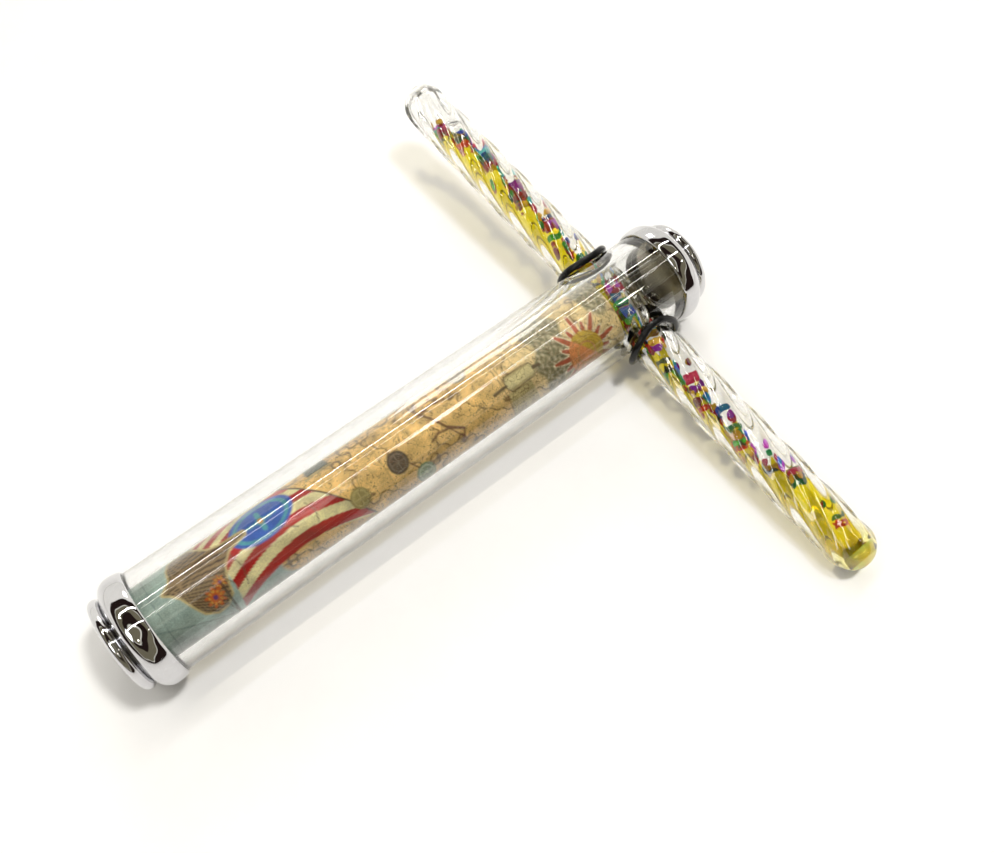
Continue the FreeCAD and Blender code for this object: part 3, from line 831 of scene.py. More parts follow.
# ---- The printed picture ----
def painted(base, colour, share):
    """Lays a colour over a ground by a share from 0 to 1 at each point."""
    return base + (np.array(colour) - base) * share[..., None]


def filled(colour, like):
    """One colour at each point of an array."""
    return np.broadcast_to(colour, like.shape + (3,))


def over(ground, paint, share):
    """Lays other painted points over a ground by a share from 0 to 1 at each point."""
    return ground + (paint - ground) * share[..., None]


def drawn(ground, u, v, corners, colour, width, share=1.0):
    """Draws a line through corners over a ground."""
    return painted(ground, colour, share * stroke(to_line(u, v, corners), width))


def inside(distance, edge=0.28):
    """1 where a signed distance is negative, falling to 0 across its edge."""
    return 1 - smooth(-edge, edge, distance)


def stroke(distance, width):
    """1 on a line of that width about distance 0."""
    return 1 - smooth(width / 2 - 0.2, width / 2 + 0.3, np.abs(distance))


def to_line(x, y, corners):
    """Distance from each point to a line through corners: the least of the distances to its runs."""
    best = np.full(np.broadcast(x, y).shape, 1e9)
    for (ax, ay), (bx, by) in zip(corners, corners[1:]):
        dx, dy = bx - ax, by - ay
        t = np.clip(((x - ax) * dx + (y - ay) * dy) / (dx * dx + dy * dy), 0, 1)
        best = np.minimum(best, np.hypot(x - ax - t * dx, y - ay - t * dy))
    return best


def to_shape(x, y, corners):
    """Signed distance to a closed outline through corners, negative inside: a ray to the right
    crosses the outline an odd number of times from inside."""
    ring = list(corners) + [corners[0]]
    crossings = np.zeros(np.broadcast(x, y).shape, bool)
    for (ax, ay), (bx, by) in zip(ring, ring[1:]):
        spans = (ay > y) != (by > y)
        at = ax + (y - ay) * (bx - ax) / ((by - ay) or 1e-9)
        crossings ^= spans & (x < at)
    return np.where(crossings, -1, 1) * to_line(x, y, ring)


SUN_AT = (205.0, -9.6)
AQUA = (0.07, 0.34, 0.42)
COURSE = (0.07, 0.12, 0.14)
BROWN = (0.20, 0.12, 0.05)
UMBER = (0.10, 0.07, 0.04)
HULL = [(9.8, 5.8), (12.6, 7.2), (14.6, 9.0), (15.4, 12.5), (17.2, 15.4), (20.5, 16.2), (25.0, 15.4),
        (28.0, 13.0), (31.0, 10.6), (36.0, 9.2), (46.0, 8.8), (46.0, 7.6), (38.0, 6.2), (33.5, 2.4),
        (31.4, -2.0), (30.2, -7.0), (26.5, -9.8), (22.5, -10.0), (18.6, -7.6), (16.4, -3.0), (14.6, 1.6),
        (12.4, 4.0)]
SAIL = [(32.6, 2.5), (33.0, -4.5), (31.4, -16.4), (36.0, -13.2), (42.0, -10.8), (50.0, -9.0), (60.0, -8.1),
        (70.0, -8.4), (79.0, -10.2), (92.5, -14.6), (86.0, -4.6), (79.0, 3.8), (72.0, 10.6), (64.5, 17.0),
        (58.0, 22.0), (24.0, 20.5), (27.0, 15.0), (31.0, 10.6)]


def ship(u, v, ground, colours):
    """Hull with bent planks, striped sail with an oval, mast, and two round flowers at the stern."""
    arch = v + 8.1 + 0.0077 * (u - 63.8) ** 2
    band = np.sin(arch * math.pi / (4.5 - 0.045 * arch))
    sail = to_shape(u, v, SAIL)
    cloth = painted(filled(colours.cream, u), colours.red, smooth(-0.12, 0.12, band))
    shading = 0.78 + 0.3 * np.sin(0.09 * u + 0.21 * arch) ** 2
    ground = over(ground, cloth * shading[..., None], inside(sail))
    ground = drawn(ground, u, v, SAIL[9:15], (0.05, 0.03, 0.02), 0.5)
    oval = np.hypot((u - 53.5 - 0.2 * (v - 8)) / 14.0, (v - 8.3) / 7.2) - 1
    ground = painted(ground, colours.blue, inside(oval * 8, 0.3))
    ground = painted(ground, AQUA, stroke((oval + 0.19) * 8, 0.9))
    point = np.arctan2(v - 8.3, (u - 53.5) * 0.62)
    star = np.hypot((u - 53.5) * 0.62, v - 8.3) - (1.3 + 2.9 * np.abs(np.cos(2 * point)) ** 5)
    ground = painted(ground, AQUA, inside(star, 0.25))
    ground = painted(ground, (0.62, 0.30, 0.05), inside(np.hypot(u - 53.5, v - 8.3) - 1.1))
    hull = to_shape(u, v, HULL)
    ground = painted(ground, (0.60, 0.50, 0.24), inside(hull - 0.8))
    plank = np.sin(5.4 * (v - 6.0) / (0.35 + 0.055 * np.abs(u - 7)) + 0.35 * u)
    wood = painted(filled((0.26, 0.175, 0.085), u), (0.04, 0.025, 0.014), smooth(0.2, 0.8, plank))
    ground = over(ground, wood, inside(hull))
    for x, y, size in ((24.6, -5.0, 4.0), (28.8, -1.4, 2.6)):
        petal = np.arctan2(v - y, u - x)
        away = np.hypot(u - x, v - y)
        bloom = away - size * (0.8 + 0.2 * np.cos(9 * petal))
        ground = painted(ground, (0.55, 0.12, 0.02), inside(bloom))
        lit = np.cos(9 * petal) > -0.2
        ground = painted(ground, (0.65, 0.36, 0.06), stroke(away - size * 0.55, 0.7) * lit)
        ground = painted(ground, (0.10, 0.03, 0.16), inside(away - size * 0.22))
    ground = drawn(ground, u, v, [(29.0, -2.2), (28.9, -17.0)], (0.04, 0.03, 0.02), 0.6)
    rigging = (
        [(27.0, -8.5), (28.9, -16.5)],
        [(33.0, -4.5), (31.0, -1.0), (33.6, 2.5)],
        [(58.6, 2.4), (63.8, -1.0)],
        [(37.5, 4.0), (38.8, -1.5), (37.0, -7.6)],
        [(70.8, 4.6), (72.6, 0.4), (71.4, -3.4)],
    )
    for line in rigging:
        ground = drawn(ground, u, v, line, (0.12, 0.09, 0.05), 0.35, 0.8)
    return ground


def coin(u, v, ground, at, size, dark, pale, spokes):
    """Round medal with a rim and plain spokes."""
    away = np.hypot(u - at[0], v - at[1])
    turn = np.arctan2(v - at[1], u - at[0])
    ground = painted(ground, dark, inside(away - size))
    ground = painted(ground, pale, 0.8 * stroke(away - size * 0.72, 0.5))
    spoke = np.abs(np.sin(spokes * turn / 2)) * away
    return painted(ground, pale, 0.75 * (1 - smooth(0.15, 0.6, spoke)) * inside(away - size * 0.62))


def sun(u, v, ground):
    """Plain sun: a ringed disc and long and short rays, and no face."""
    x, y = u - SUN_AT[0], v - SUN_AT[1]
    away, turn = np.hypot(x, y), np.arctan2(y, x)
    place = turn * 9 / math.pi
    ray = np.abs((place % 1) * 2 - 1)
    length = np.where(place % 2 < 1, 17.5, 13.5)
    taper = np.clip((length - away) / (length - 7.5), 0, 1)
    halo = 1 - smooth(0.0, 0.25, ray - 1.05 * taper)
    ground = painted(ground, (0.97, 0.88, 0.62), halo * (away < length))
    flame = 1 - smooth(0.0, 0.2, ray - 0.68 * taper)
    ground = painted(ground, (0.50, 0.12, 0.06), flame * (away < length - 1.2))
    curl = np.sin(3.4 * away + 5 * np.sin(3 * turn + 0.6 * away))
    hair = smooth(-0.1, 0.6, x + 0.9 * y - 2.0)
    disc = painted(filled((0.80, 0.32, 0.12), u), (0.66, 0.47, 0.07), hair)
    disc = painted(disc, (0.30, 0.12, 0.03), 0.55 * smooth(0.3, 1.0, curl) * (away > 4.6))
    disc = painted(disc, (0.66, 0.34, 0.13), stroke(away - 4.4, 0.6))
    return over(ground, disc, inside(away - 8.8))


def picture_colours(u, v, colours):
    """Colour of the print at u along the tube and v round it, both in millimetres.

    A sea with course lines, the ship, an old map with coins, a scroll, hills and a sun. Every shape
    is a distance to a line, a ring or an outline, cut off smoothly at its edge.
    """
    drift = np.sin(0.31 * u + 0.7 * np.sin(0.23 * v)) * np.cos(0.27 * v + 0.5 * np.sin(0.19 * u))
    ground = filled(colours.sea, u) * (1 + 0.18 * drift + 0.25 * smooth(4, 30, u))[..., None]
    ground = painted(ground, COURSE, 0.45 * stroke(u - 5.0 - 0.05 * v, 0.4))
    for start, fall in ((-3.6, 0.42), (14.0, -0.55), (27.0, -0.3), (-30.0, 0.7)):
        away = (v - start + fall * u) / math.hypot(1, fall)
        ground = painted(ground, COURSE, 0.45 * stroke(away, 0.4))
    land = smooth(-1.2, 1.2, u - 47.0 - 0.5 * np.abs(v) + 1.6 * np.sin(0.4 * v))
    ground = over(ground, filled(colours.parchment, u) * (1 + 0.14 * drift)[..., None], land)
    ground = painted(ground, (0.92, 0.76, 0.42), 0.8 * smooth(150, 185, u))
    coast = np.sin(0.16 * u + 1.7 * np.sin(0.11 * v + 1.0)) + 0.8 * np.sin(0.21 * v + 1.3 * np.sin(0.17 * u)) \
        + 0.35 * np.sin(0.6 * u + 0.8 * v) + 0.25 * np.sin(1.1 * v - 0.7 * u)
    shallows = land * 0.35 * smooth(0.0, 0.25, coast) * (1 - smooth(0.25, 0.8, coast))
    ground = painted(ground, (0.36, 0.22, 0.09), shallows)
    ground = painted(ground, (0.16, 0.09, 0.035), land * 0.9 * (1 - smooth(0.05, 0.2, np.abs(coast))))
    for x in (66.0, 103.8, 163.4, 165.0):
        ground = painted(ground, BROWN, land * 0.55 * stroke(u - x, 0.35))
    ground = painted(ground, BROWN, land * 0.45 * stroke(v - 13.8 + 0.01 * (u - 100), 0.35))
    hatch = np.sin(4.2 * u + 1.2 * np.sin(0.9 * v)) * np.sin(1.9 * v + 2.2 * np.sin(0.33 * u))
    marks = smooth(0.72, 0.92, hatch) * smooth(0.1, 0.8, np.sin(0.35 * u + 2.0 * np.sin(0.24 * v)))
    ground = painted(ground, (0.17, 0.10, 0.045), land * 0.8 * marks)
    hills = inside(np.abs(u - 190.5 - 1.6 * np.sin(0.3 * v)) - 8.2 + 1.2 * np.sin(0.55 * v), 1.2)
    hills = np.maximum(hills, inside(np.hypot((u - 220.0) / 7.0, (v - 13.0) / 15.0) * 7 - 6.4, 1.0))
    rough = np.sin(1.9 * u + 1.5 * np.sin(1.1 * v)) * np.sin(1.4 * v + 1.2 * np.sin(0.9 * u))
    peaks = painted(filled((0.27, 0.26, 0.17), u), (0.085, 0.10, 0.06), smooth(-0.1, 0.5, rough))
    peaks = painted(peaks, (0.52, 0.48, 0.34), smooth(0.35, 0.75, -rough))
    ground = over(ground, peaks, 0.85 * hills)
    ground = ship(u, v, ground, colours)
    banner = to_shape(u, v, [(77.6, 12.2), (86.8, 12.6), (86.2, 26.0), (77.0, 26.0)])
    ground = painted(ground, (0.045, 0.06, 0.035), inside(banner + 0.3 * np.sin(0.8 * v)))
    ground = drawn(ground, u, v, [(76.4, 11.4), (88.0, 12.0)], (0.40, 0.33, 0.16), 0.7, 0.9)
    for at, size, dark, pale, spokes in (
        ((89.6, -5.6), 4.2, (0.34, 0.28, 0.10), (0.56, 0.47, 0.21), 4),
        ((109.6, -2.6), 4.5, (0.085, 0.062, 0.042), (0.22, 0.17, 0.12), 8),
        ((118.0, -12.6), 4.4, (0.24, 0.34, 0.19), (0.60, 0.66, 0.44), 6),
        ((151.0, 13.8), 4.6, (0.32, 0.28, 0.21), (0.70, 0.64, 0.48), 6),
    ):
        ground = coin(u, v, ground, at, size, dark, pale, spokes)
    for branch, width in (
        ([(126.0, 12.5), (128.0, 7.6), (131.6, 2.6), (134.2, -1.8), (140.6, -6.2)], 0.9),
        ([(126.0, -3.6), (129.6, -2.2), (135.0, -3.0), (140.6, -6.2), (138.0, -10.6)], 0.8),
        ([(127.0, 7.0), (133.4, 8.4), (140.6, 7.2)], 0.9),
        ([(134.2, -1.8), (139.6, -10.2)], 0.5),
        ([(129.0, 12.8), (127.2, 10.0)], 0.7),
        ([(113.6, -5.4), (116.2, -9.0)], 0.5),
    ):
        ground = drawn(ground, u, v, branch, (0.17, 0.075, 0.04), width, 0.9)
    sheet = to_shape(u, v, [(164.2, -5.4), (175.8, -5.4), (177.4, -17.5), (163.4, -17.5)])
    ruled = 0.55 * stroke(((v * 1.25) % 1) - 0.5, 0.2) * stroke(((u * 0.6) % 1) - 0.5, 0.8)
    page = painted(filled((0.66, 0.56, 0.27), u), (0.22, 0.17, 0.07), ruled)
    ground = over(ground, page, inside(sheet))
    edge = [(166.0, 1.2), (178.8, 0.6), (180.0, -2.0), (178.8, -4.8), (166.6, -5.8), (164.6, -2.4)]
    roll = to_shape(u, v, edge)
    shadow = smooth(1.2, 3.4, np.abs(v + 2.0))
    ground = over(ground, painted(filled((0.76, 0.68, 0.36), u), (0.36, 0.27, 0.10), shadow), inside(roll))
    ground = drawn(ground, u, v, [(158.6, -2.6), (165.0, -2.4)], UMBER, 1.1)
    ground = drawn(ground, u, v, [(179.6, -2.0), (182.4, -2.4)], UMBER, 1.4)
    ground = painted(ground, (0.14, 0.10, 0.05), stroke(np.abs(roll), 0.3))
    return np.clip(sun(u, v, ground), 0.0, 1.0)


def picture_material(name):
    """Print on satin paper: the picture's own colours, ink speckle, hairline contours and paper grain."""
    material, tree, out = new_material(name)
    inks = put_node(tree, "ShaderNodeAttribute", {"attribute_name": "picture"}).outputs["Color"]
    inked = put_node(tree, "ShaderNodeAttribute", {"attribute_name": "land"}).outputs["Fac"]
    grain = group_node(tree, "Paper grain", Scale=1700.0, Contrast=0.95)
    body = mixed(tree, 1.0, inks, grey(tree, grain["Value"]), "MULTIPLY")
    relief = noise(tree, object_place(tree), 95.0, 5.0, Roughness=0.6)
    steps = maths(tree, "PINGPONG", maths(tree, "MULTIPLY", relief, 9.0), 0.5)
    contour = maths(tree, "MULTIPLY", spread(tree, steps, 0.02, 0.06, 0.85, 0.0), inked)
    drawn = mixed(tree, contour, body, (0.15, 0.085, 0.035, 1.0))
    rough = spread(tree, grain["Value"], 0.7, 1.3, 0.5, 0.36)
    paper = put_node(tree, "ShaderNodeBsdfPrincipled", Base_Color=drawn, Roughness=rough,
                     Normal=bumped(tree, grain["Height"], 0.12, 0.0002))
    tree.links.new(paper.outputs[0], out.inputs["Surface"])
    return material


# ---- Operators: one for each piece or group of like pieces ----
class KALEIDO_OT_groups(bpy.types.Operator):
    """Makes the shader groups that several materials share"""

    bl_idname = "kaleido.groups"
    bl_label = "Shared finishes"

    def execute(self, context):
        scuffs_group()
        grain_group()
        flow_group()
        return {"FINISHED"}


class KALEIDO_OT_barrel(bpy.types.Operator):
    """Makes the clear barrel with its two holes for the wand"""

    bl_idname = "kaleido.barrel"
    bl_label = "Clear barrel"

    def execute(self, context):
        barrel = settings().barrel
        points, faces = barrel_points(barrel.outer_radius / MM, barrel.bore_radius / MM)
        piece = put_mesh("clear_barrel", points, faces, sharp=30.0)
        dress(piece, clear_material("Barrel acrylic", (0.985, 0.99, 0.985), barrel.refraction, barrel.shade,
                                    wave=0.004, scale=26.0, streaks=0.10, polish=0.7))
        stand_for(piece, "barrel_tube", "barrel")
        return {"FINISHED"}


class KALEIDO_OT_caps(bpy.types.Operator):
    """Makes the four chrome parts: a cap and a bezel at each end"""

    bl_idname = "kaleido.caps"
    bl_label = "Chrome caps and bezels"

    def execute(self, context):
        caps = settings().caps
        chrome = chrome_material("Chrome plate", tuple(caps.chrome), caps.roughness)
        for name, node, outline, far in (
            ("eyepiece_cap_bead", "eyepiece_cap", eyepiece_cap_outline(), False),
            ("eyepiece_bezel_ring", "eyepiece_bezel", eyepiece_bezel_outline(), False),
            ("objective_cap_bead", "objective_cap", objective_cap_outline(), True),
            ("objective_bezel_plate", "objective_bezel", objective_bezel_outline(), True),
        ):
            through = outline[:, 1].min() > 0
            profile = softened(outline, caps.edge_rounding / MM, closed=through)
            if far:
                profile[:, 0] = MIRRORED - profile[:, 0]
            piece = surface(name, turned(profile), wrap_rows=through, sharp=32.0)
            dress(piece, chrome)
            stand_for(piece, node, "barrel")
        return {"FINISHED"}


class KALEIDO_OT_optics(bpy.types.Operator):
    """Makes the reflector disc, the eye lens and the cell's window, and finishes the mirrors"""

    bl_idname = "kaleido.optics"
    bl_label = "Mirrors and lens"

    def execute(self, context):
        mirror = chrome_material("Mirror glass", (0.80, 0.81, 0.80), 0.012)
        lens = clear_material("Lens acrylic", (0.97, 0.985, 0.98), ACRYLIC_IN_AIR, (0.93, 0.94, 0.93),
                              wave=0.008, scale=60.0)
        start, end, r = REFLECTOR
        disc = np.array([(start, 0.0), (start, r), (end, r), (end, 0.0)])
        piece = surface("reflector_mirror", turned(softened(disc, 0.2, closed=False), 128), sharp=32.0)
        # The reflector disc's mirror colour is dark grey-brown, much darker than the other mirrors.
        dress(piece, chrome_material("Dark grey-brown mirror", (0.27, 0.25, 0.20), 0.05))
        stand_for(piece, "reflector_disc", "barrel")
        r = np.linspace(0, LENS_R, 16)
        dome_r = (LENS_R ** 2 + LENS_RISE ** 2) / (2 * LENS_RISE)
        dome = np.stack([LENS_CREST - dome_r + np.sqrt(dome_r ** 2 - r ** 2), r], -1)
        bulge = np.concatenate([dome, [(NOSE_X, LENS_R), (NOSE_X, 0.0)]])
        piece = surface("eye_lens_disc", turned(softened(bulge, 0.15, closed=False), 96), sharp=32.0)
        dress(piece, lens)
        stand_for(piece, "eye_lens", "barrel")
        start, end, r = WINDOW
        pane = np.array([(start, 0.0), (start, r), (end, r), (end, 0.0)])
        piece = surface("cell_window", turned(softened(pane, 0.15, closed=False), 96), sharp=32.0)
        dress(piece, lens)
        stand_for(piece, "front_window", "barrel")
        for node in ("mirror_base", "mirror_left", "mirror_right"):
            redress(node, mirror)
        return {"FINISHED"}


class KALEIDO_OT_inner_parts(bpy.types.Operator):
    """Finishes the card tube, the washer, the tape and the foam collars"""

    bl_idname = "kaleido.inner_parts"
    bl_label = "Card, tape and foam"

    def execute(self, context):
        card = card_material("Grey card", (0.30, 0.24, 0.17))
        redress("card_tube", card)
        redress("eye_lens_washer", card)
        redress("mirror_tape", card_material("Black tape", (0.022, 0.022, 0.025), 0.45, 0.2, 500.0, 0.2))
        foam = card_material("Black foam", (0.028, 0.028, 0.03), 0.95, 1.0, 1400.0, 0.8)
        redress("rear_foam_ring", foam)
        redress("front_foam_ring", foam)
        return {"FINISHED"}


class KALEIDO_OT_picture(bpy.types.Operator):
    """Makes the printed paper round the picture tube"""

    bl_idname = "kaleido.picture"
    bl_label = "Printed picture"

    def execute(self, context):
        start, end, inner_r, outer_r = SLEEVE
        along = np.linspace(start, end, 441)
        turn = np.linspace(0, 2 * math.pi, 194, endpoint=False)[None, :]
        x = np.concatenate([along, [end, start]])[:, None]
        r = np.concatenate([along * 0 + outer_r, [inner_r, inner_r]])[:, None]
        towards_eye = math.radians(25.6)
        angle = turn - math.pi + towards_eye
        points = np.stack([x + 0 * turn, -r * np.sin(angle), r * np.cos(angle)], -1)
        u = x - start + 0 * turn
        v = -(turn - math.pi) * outer_r + 0 * x
        colours = picture_colours(u, v, settings().picture)
        colours[-2:] = (0.72, 0.68, 0.60)
        land = smooth(-1.0, 2.0, u - 49.0 - 0.5 * np.abs(v)) * (to_shape(u, v, SAIL) > 0.3) \
            * (to_shape(u, v, HULL) > 0.8) * (np.hypot(u - SUN_AT[0], v - SUN_AT[1]) > 9.0)
        land[-2:] = 0
        piece = surface("printed_picture", points, wrap_rows=True,
                        fields={"picture": colours.reshape(-1, 3), "land": land.reshape(-1).astype(float)})
        dress(piece, picture_material("Printed paper"))
        stand_for(piece, "picture_sleeve", "barrel")
        return {"FINISHED"}


class KALEIDO_OT_rings(bpy.types.Operator):
    """Makes the two rubber O-rings that hold the wand in the barrel"""

    bl_idname = "kaleido.rings"
    bl_label = "Rubber rings"

    def execute(self, context):
        rings = settings().rings
        rubber = rubber_material("Black rubber", tuple(rings.rubber))
        outer_r = settings().barrel.outer_radius / MM
        for name, side, gap in (
            ("o_ring_upper", 1, rings.upper_gap),
            ("o_ring_lower", -1, rings.lower_gap),
        ):
            piece = surface(name + "_rubber", saddle_ring(side, gap / MM, outer_r), wrap_rows=True)
            dress(piece, rubber)
            stand_for(piece, name, "ring_pair")
        return {"FINISHED"}


class KALEIDO_OT_wand(bpy.types.Operator):
    """Makes the twisted acrylic wand and the plug in its low tip"""

    bl_idname = "kaleido.wand"
    bl_label = "Twisted wand"

    def execute(self, context):
        wand = settings().wand
        points, wetted = wand_shell_points(wand.lobes, wand.pitch / MM)
        kinds = np.repeat(wetted[:-1] * wetted[1:], points.shape[1])
        piece = surface("twisted_wand", points, kinds=kinds, sharp=50.0)
        shade = (0.84, 0.82, 0.74)
        clear = (0.99, 0.99, 0.98)
        acrylic = clear_material("Wand acrylic", clear, ACRYLIC_IN_AIR, shade, wave=0.02, scale=75.0,
                                 streaks=0.35, polish=0.7)
        tint_tip(acrylic, clear, (0.93, 0.86, 0.30))
        wetted_wall = clear_material("Wand acrylic against liquid", WHITE, ACRYLIC_IN_LIQUID, WHITE,
                                     wave=0.01, scale=75.0)
        dress(piece, acrylic, wetted_wall)
        stand_for(piece, "wand_shell", "wand")
        plug = surface("wand_tip_plug", plug_points(), sharp=40.0)
        dress(plug, card_material("Plug resin", (0.70, 0.65, 0.20), 0.3, 0.1, 400.0, 0.25, 0.6))
        stand_for(plug, "wand_plug", "wand")
        return {"FINISHED"}


class KALEIDO_OT_liquid(bpy.types.Operator):
    """Makes the yellow liquid, the clear liquid beside it and an air bubble near the raised tip"""

    bl_idname = "kaleido.liquid"
    bl_label = "Liquids"

    def execute(self, context):
        wand = settings().wand
        ripple = {"wave": 0.01, "scale": 150.0}
        tinted = clear_material("Yellow liquid", tuple(wand.liquid), LIQUID_IN_LIQUID, (0.96, 0.95, 0.88),
                                **ripple)
        plain = clear_material("Clear liquid", WHITE, LIQUID_IN_LIQUID, WHITE, **ripple)
        top = clear_material("Liquid surface", WHITE, LIQUID_IN_AIR, (0.97, 0.97, 0.95), **ripple)
        piece = surface("yellow_liquid", liquid_points(True, -BORE_TOP + 0.15, 134.0), sharp=40.0)
        dress(piece, tinted)
        stand_for(piece, "wand_liquid", "wand")
        points = liquid_points(False, -116.0, LIQUID_TOP - 0.02)
        kinds = np.zeros((points.shape[0] - 1, points.shape[1]))
        kinds[-1] = 1
        piece = surface("clear_liquid", points, kinds=kinds.ravel(), sharp=40.0)
        dress(piece, plain, top)
        stand_for(piece, "wand_liquid", "wand")
        piece = surface("air_bubble", bubble_points(2.2, -3.4, 121.0), sharp=60.0)
        dress(piece, clear_material("Bubble wall", WHITE, 1 / LIQUID_IN_AIR, (0.95, 0.95, 0.93), **ripple))
        stand_for(piece, "wand_liquid", "wand")
        return {"FINISHED"}


class KALEIDO_OT_glitter(bpy.types.Operator):
    """Makes the coloured foil flakes, gathered where the two liquids meet"""

    bl_idname = "kaleido.glitter"
    bl_label = "Glitter"

    def execute(self, context):
        wand = settings().wand
        rng = np.random.default_rng(wand.seed)
        kinds = (
            ("purple", "foil_squares_purple", "square", (5.2, 6.8), (0.30, 0.012, 0.50), (0.52, 0.03, 0.52)),
            ("crimson", "foil_squares_crimson", "square", (4.8, 6.4), (0.60, 0.012, 0.09), (0.34, 0.006, 0.05)),
            ("blue", "foil_squares_blue", "square", (4.4, 6.2), (0.02, 0.06, 0.62), (0.02, 0.24, 0.52)),
            ("green", "foil_strips_green", "strip", (5.4, 7.2), (0.01, 0.36, 0.11), (0.02, 0.50, 0.32)),
            ("gold", "foil_strips_gold", "strip", (5.4, 7.2), (0.80, 0.50, 0.05), (0.64, 0.30, 0.03)),
            ("teal", "foil_dots_teal", "dot", (3.0, 4.6), (0.03, 0.32, 0.38), (0.08, 0.50, 0.56)),
            ("red", "foil_stars_red", "star", (4.8, 6.4), (0.68, 0.015, 0.012), (0.42, 0.012, 0.02)),
            ("navy", "foil_moons_navy", "moon", (4.6, 6.4), (0.015, 0.02, 0.20), (0.03, 0.07, 0.36)),
        )
        for colour, node, outline, (small, large), first, second in kinds:
            count = wand.flakes
            z = np.linspace(-108, 127, count) + rng.uniform(-6, 6, count)
            if outline in ("star", "dot"):
                z[:2] = (-136.0 + 5 * rng.uniform(-1, 1), -126.0)
            sizes = rng.uniform(small, large, count)
            reach = WAND_BORE_R - 0.25 - 0.72 * sizes
            along = np.clip(boundary(z) + rng.normal(0.5, 2.0, count), -reach, reach)
            room = np.sqrt(np.maximum(0, reach ** 2 - along ** 2))
            beside = rng.uniform(-1, 1, count) * room
            section = along[:, None] * ACROSS + beside[:, None] * BESIDE
            centres = np.concatenate([section, z[:, None]], 1)
            curls = rng.normal(0, 0.35, count)
            points, faces = flake_points(outline, sizes, centres, lying(rng, count), curls)
            piece = put_mesh("foil_" + colour, points, faces, sharp=60.0)
            dress(piece, foil_material("Foil " + colour, first, second, 0.3))
            stand_for(piece, node, "wand")
        return {"FINISHED"}


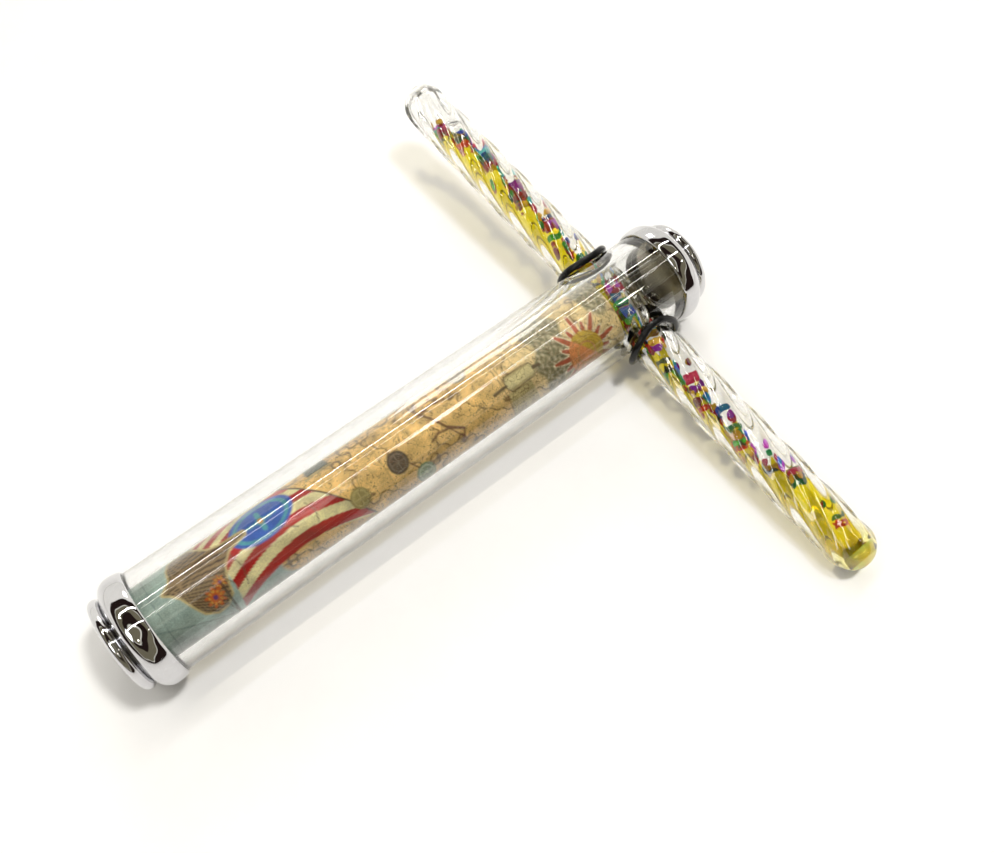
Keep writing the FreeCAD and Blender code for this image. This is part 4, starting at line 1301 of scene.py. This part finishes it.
class KALEIDO_OT_stage(bpy.types.Operator):
    """Makes the table, the lights, the room's glow and the camera"""

    bl_idname = "kaleido.stage"
    bl_label = "Table, lights and camera"

    def execute(self, context):
        stage = settings().stage
        scene = context.scene
        half = 1500.0
        x, y = np.meshgrid(np.linspace(-half, half, 9), np.linspace(-half, half, 9), indexing="ij")
        table = surface("table_top", np.stack([x, y, 0 * x + cad_box[0].z / MM], -1), wrap_cols=False)
        material, tree, out = new_material("Pale table")
        grain = group_node(tree, "Paper grain", Scale=60.0, Contrast=0.05)
        tone = mixed(tree, 1.0, four(stage.floor), grey(tree, grain["Value"]), "MULTIPLY")
        top = put_node(tree, "ShaderNodeBsdfPrincipled", Roughness=0.55, Base_Color=tone)
        tree.links.new(top.outputs[0], out.inputs["Surface"])
        dress(table, material)
        self.lights(stage)
        self.room()
        self.camera(scene)
        scene.view_settings.view_transform = "Standard"
        scene.cycles.max_bounces = 24
        scene.cycles.transmission_bounces = 20
        scene.cycles.transparent_max_bounces = 32
        scene.cycles.glossy_bounces = 10
        scene.cycles.use_denoising = True
        scene.cycles.caustics_reflective = False
        scene.cycles.caustics_refractive = False
        return {"FINISHED"}

    def lights(self, stage):
        """A soft main light high on the right, two long ceiling lights over the barrel, two broad fills
        and three small lamps. The main light is left out of reflections."""
        aim = Vector((0.19, 0.0, 0.0))
        for name, towards, far, wide, deep, power, colour in (
            ("key", (0.22, -0.17, 0.96), 1.3, 0.16, 0.16, stage.key_power, (1.0, 0.985, 0.96)),
            ("strip_far", (0.0, 0.37, 0.93), 1.5, 2.4, 0.03, stage.strip_power * 1.6, (1.0, 0.98, 0.95)),
            ("strip_near", (0.0, -0.17, 0.985), 1.6, 2.4, 0.022, stage.strip_power * 0.6, (1.0, 0.98, 0.95)),
            ("fill_left", (-0.75, -0.2, 0.63), 1.8, 0.5, 0.5, stage.strip_power * 0.8, (0.97, 0.98, 1.0)),
            ("fill_back", (0.3, 0.8, 0.55), 1.8, 0.4, 0.4, stage.strip_power * 0.7, (1.0, 0.98, 0.94)),
            ("lamp_a", (-0.35, -0.55, 0.75), 1.5, 0.06, 0.06, 0.35, (1.0, 0.95, 0.86)),
            ("lamp_b", (-0.55, 0.25, 0.8), 1.5, 0.05, 0.05, 0.25, (1.0, 0.95, 0.86)),
            ("lamp_c", (0.5, -0.45, 0.75), 1.5, 0.05, 0.05, 0.25, (1.0, 0.95, 0.86)),
        ):
            data = bpy.data.lights.new(name, "AREA")
            data.shape = "RECTANGLE"
            data.size, data.size_y = wide, deep
            data.energy, data.color = power, colour
            lamp = bpy.data.objects.new(name, data)
            lamp.location = aim + Vector(towards).normalized() * far
            faced = (lamp.location - aim).to_track_quat("Z", "X").to_euler()
            along_barrel = (math.atan2(-towards[1], towards[2]), 0, 0)
            lamp.rotation_euler = faced if wide == deep else along_barrel
            lamp.visible_glossy = name != "key"
            bpy.context.scene.collection.objects.link(lamp)

    def room(self):
        """A room as chrome shows it: uneven rings of olive, black-brown and pale lines about the sight
        line, and pale walls outside them."""
        world = bpy.data.worlds.new("Studio room")
        world.use_nodes = True
        tree = world.node_tree
        tree.nodes.clear()
        place = put_node(tree, "ShaderNodeTexCoord").outputs["Generated"]
        uneven = noise(tree, place, 1.8, 0.0)
        middle = put_node(tree, "ShaderNodeVectorMath", {"operation": "DOT_PRODUCT"}, i0=place,
                          i1=(-0.29, -0.38, 0.88)).outputs["Value"]
        away = maths(tree, "MULTIPLY_ADD", uneven, 0.5, maths(tree, "ARCCOSINE", middle))
        rings = put_node(tree, "ShaderNodeValToRGB", i0=spread(tree, away, 0.25, 2.05, 0.0, 1.0))
        olive, dark = (0.20, 0.18, 0.12), (0.022, 0.013, 0.011)
        line, wall = (0.95, 0.92, 0.80), (1.05, 1.02, 0.94)
        stops = rings.color_ramp.elements
        for start, end, colour in (
            (0.0, 0.16, olive), (0.17, 0.19, line), (0.20, 0.34, dark), (0.35, 0.50, olive),
            (0.51, 0.52, line), (0.53, 0.73, dark), (0.74, 1.0, wall),
        ):
            for at in (start, end):
                stop = stops[0] if at == 0.0 else stops[-1] if at == 1.0 else stops.new(at)
                stop.color = four(colour)
        room = rings.outputs["Color"]
        seen = put_node(tree, "ShaderNodeLightPath").outputs["Is Camera Ray"]
        glow = put_node(tree, "ShaderNodeBackground", Color=mixed(tree, seen, room, (0.86, 0.855, 0.84, 1.0)),
                        Strength=1.0)
        out = put_node(tree, "ShaderNodeOutputWorld")
        tree.links.new(glow.outputs[0], out.inputs["Surface"])
        bpy.context.scene.world = world

    def camera(self, scene):
        """Looks down on the object from above the eyepiece end, with a slight roll."""
        data = bpy.data.cameras.new("camera")
        data.lens = 33.8
        data.sensor_width = 36.0
        data.clip_start, data.clip_end = 0.01, 20.0
        camera = bpy.data.objects.new("camera", data)
        seat, aim = Vector((0.0542, -0.1660, 0.3463)), Vector((0.1694, -0.01585, 0.0))
        towards = (aim - seat).to_track_quat("-Z", "Y").to_matrix().to_4x4()
        camera.matrix_world = Matrix.Translation(seat) @ towards @ Matrix.Rotation(-0.0232, 4, "Z")
        scene.collection.objects.link(camera)
        scene.camera = camera


class KALEIDO_PT_tools(bpy.types.Panel):
    """Lists the pieces in the order they are made"""

    bl_idname = "KALEIDO_PT_tools"
    bl_label = "Wand kaleidoscope"
    bl_space_type = "VIEW_3D"
    bl_region_type = "UI"
    bl_category = "Kaleidoscope"

    def draw(self, context):
        for step in OPERATORS:
            self.layout.operator(step.bl_idname)
        for group in PARTS:
            box = self.layout.box()
            values = getattr(settings(), group)
            for field in values.__annotations__:
                box.prop(values, field)


class KaleidoscopeSettings(bpy.types.PropertyGroup):
    """Every part's settings."""

    barrel: PointerProperty(type=BarrelSettings, name="Barrel", description="The clear barrel")
    caps: PointerProperty(type=CapSettings, name="Caps", description="The chrome caps")
    picture: PointerProperty(type=PictureSettings, name="Picture", description="The printed picture")
    rings: PointerProperty(type=RingSettings, name="Rings", description="The rubber rings")
    wand: PointerProperty(type=WandSettings, name="Wand", description="The wand and its filling")
    stage: PointerProperty(type=StageSettings, name="Stage", description="Floor, lights and camera")


PARTS = ("barrel", "caps", "picture", "rings", "wand", "stage")
OPERATORS = (
    KALEIDO_OT_groups,
    KALEIDO_OT_barrel,
    KALEIDO_OT_caps,
    KALEIDO_OT_optics,
    KALEIDO_OT_inner_parts,
    KALEIDO_OT_picture,
    KALEIDO_OT_rings,
    KALEIDO_OT_wand,
    KALEIDO_OT_liquid,
    KALEIDO_OT_glitter,
    KALEIDO_OT_stage,
)
GROUPS = (BarrelSettings, CapSettings, PictureSettings, RingSettings, WandSettings, StageSettings,
          KaleidoscopeSettings)


def register():
    for part in GROUPS + OPERATORS + (KALEIDO_PT_tools,):
        bpy.utils.register_class(part)
    bpy.types.Scene.kaleidoscope = PointerProperty(type=KaleidoscopeSettings)


def unregister():
    del bpy.types.Scene.kaleidoscope
    for part in reversed(GROUPS + OPERATORS + (KALEIDO_PT_tools,)):
        bpy.utils.unregister_class(part)


def main():
    """Makes every piece in order."""
    register()
    for step in OPERATORS:
        category, action = step.bl_idname.split(".")
        getattr(getattr(bpy.ops, category), action)()


if __name__ == "__main__":
    main()
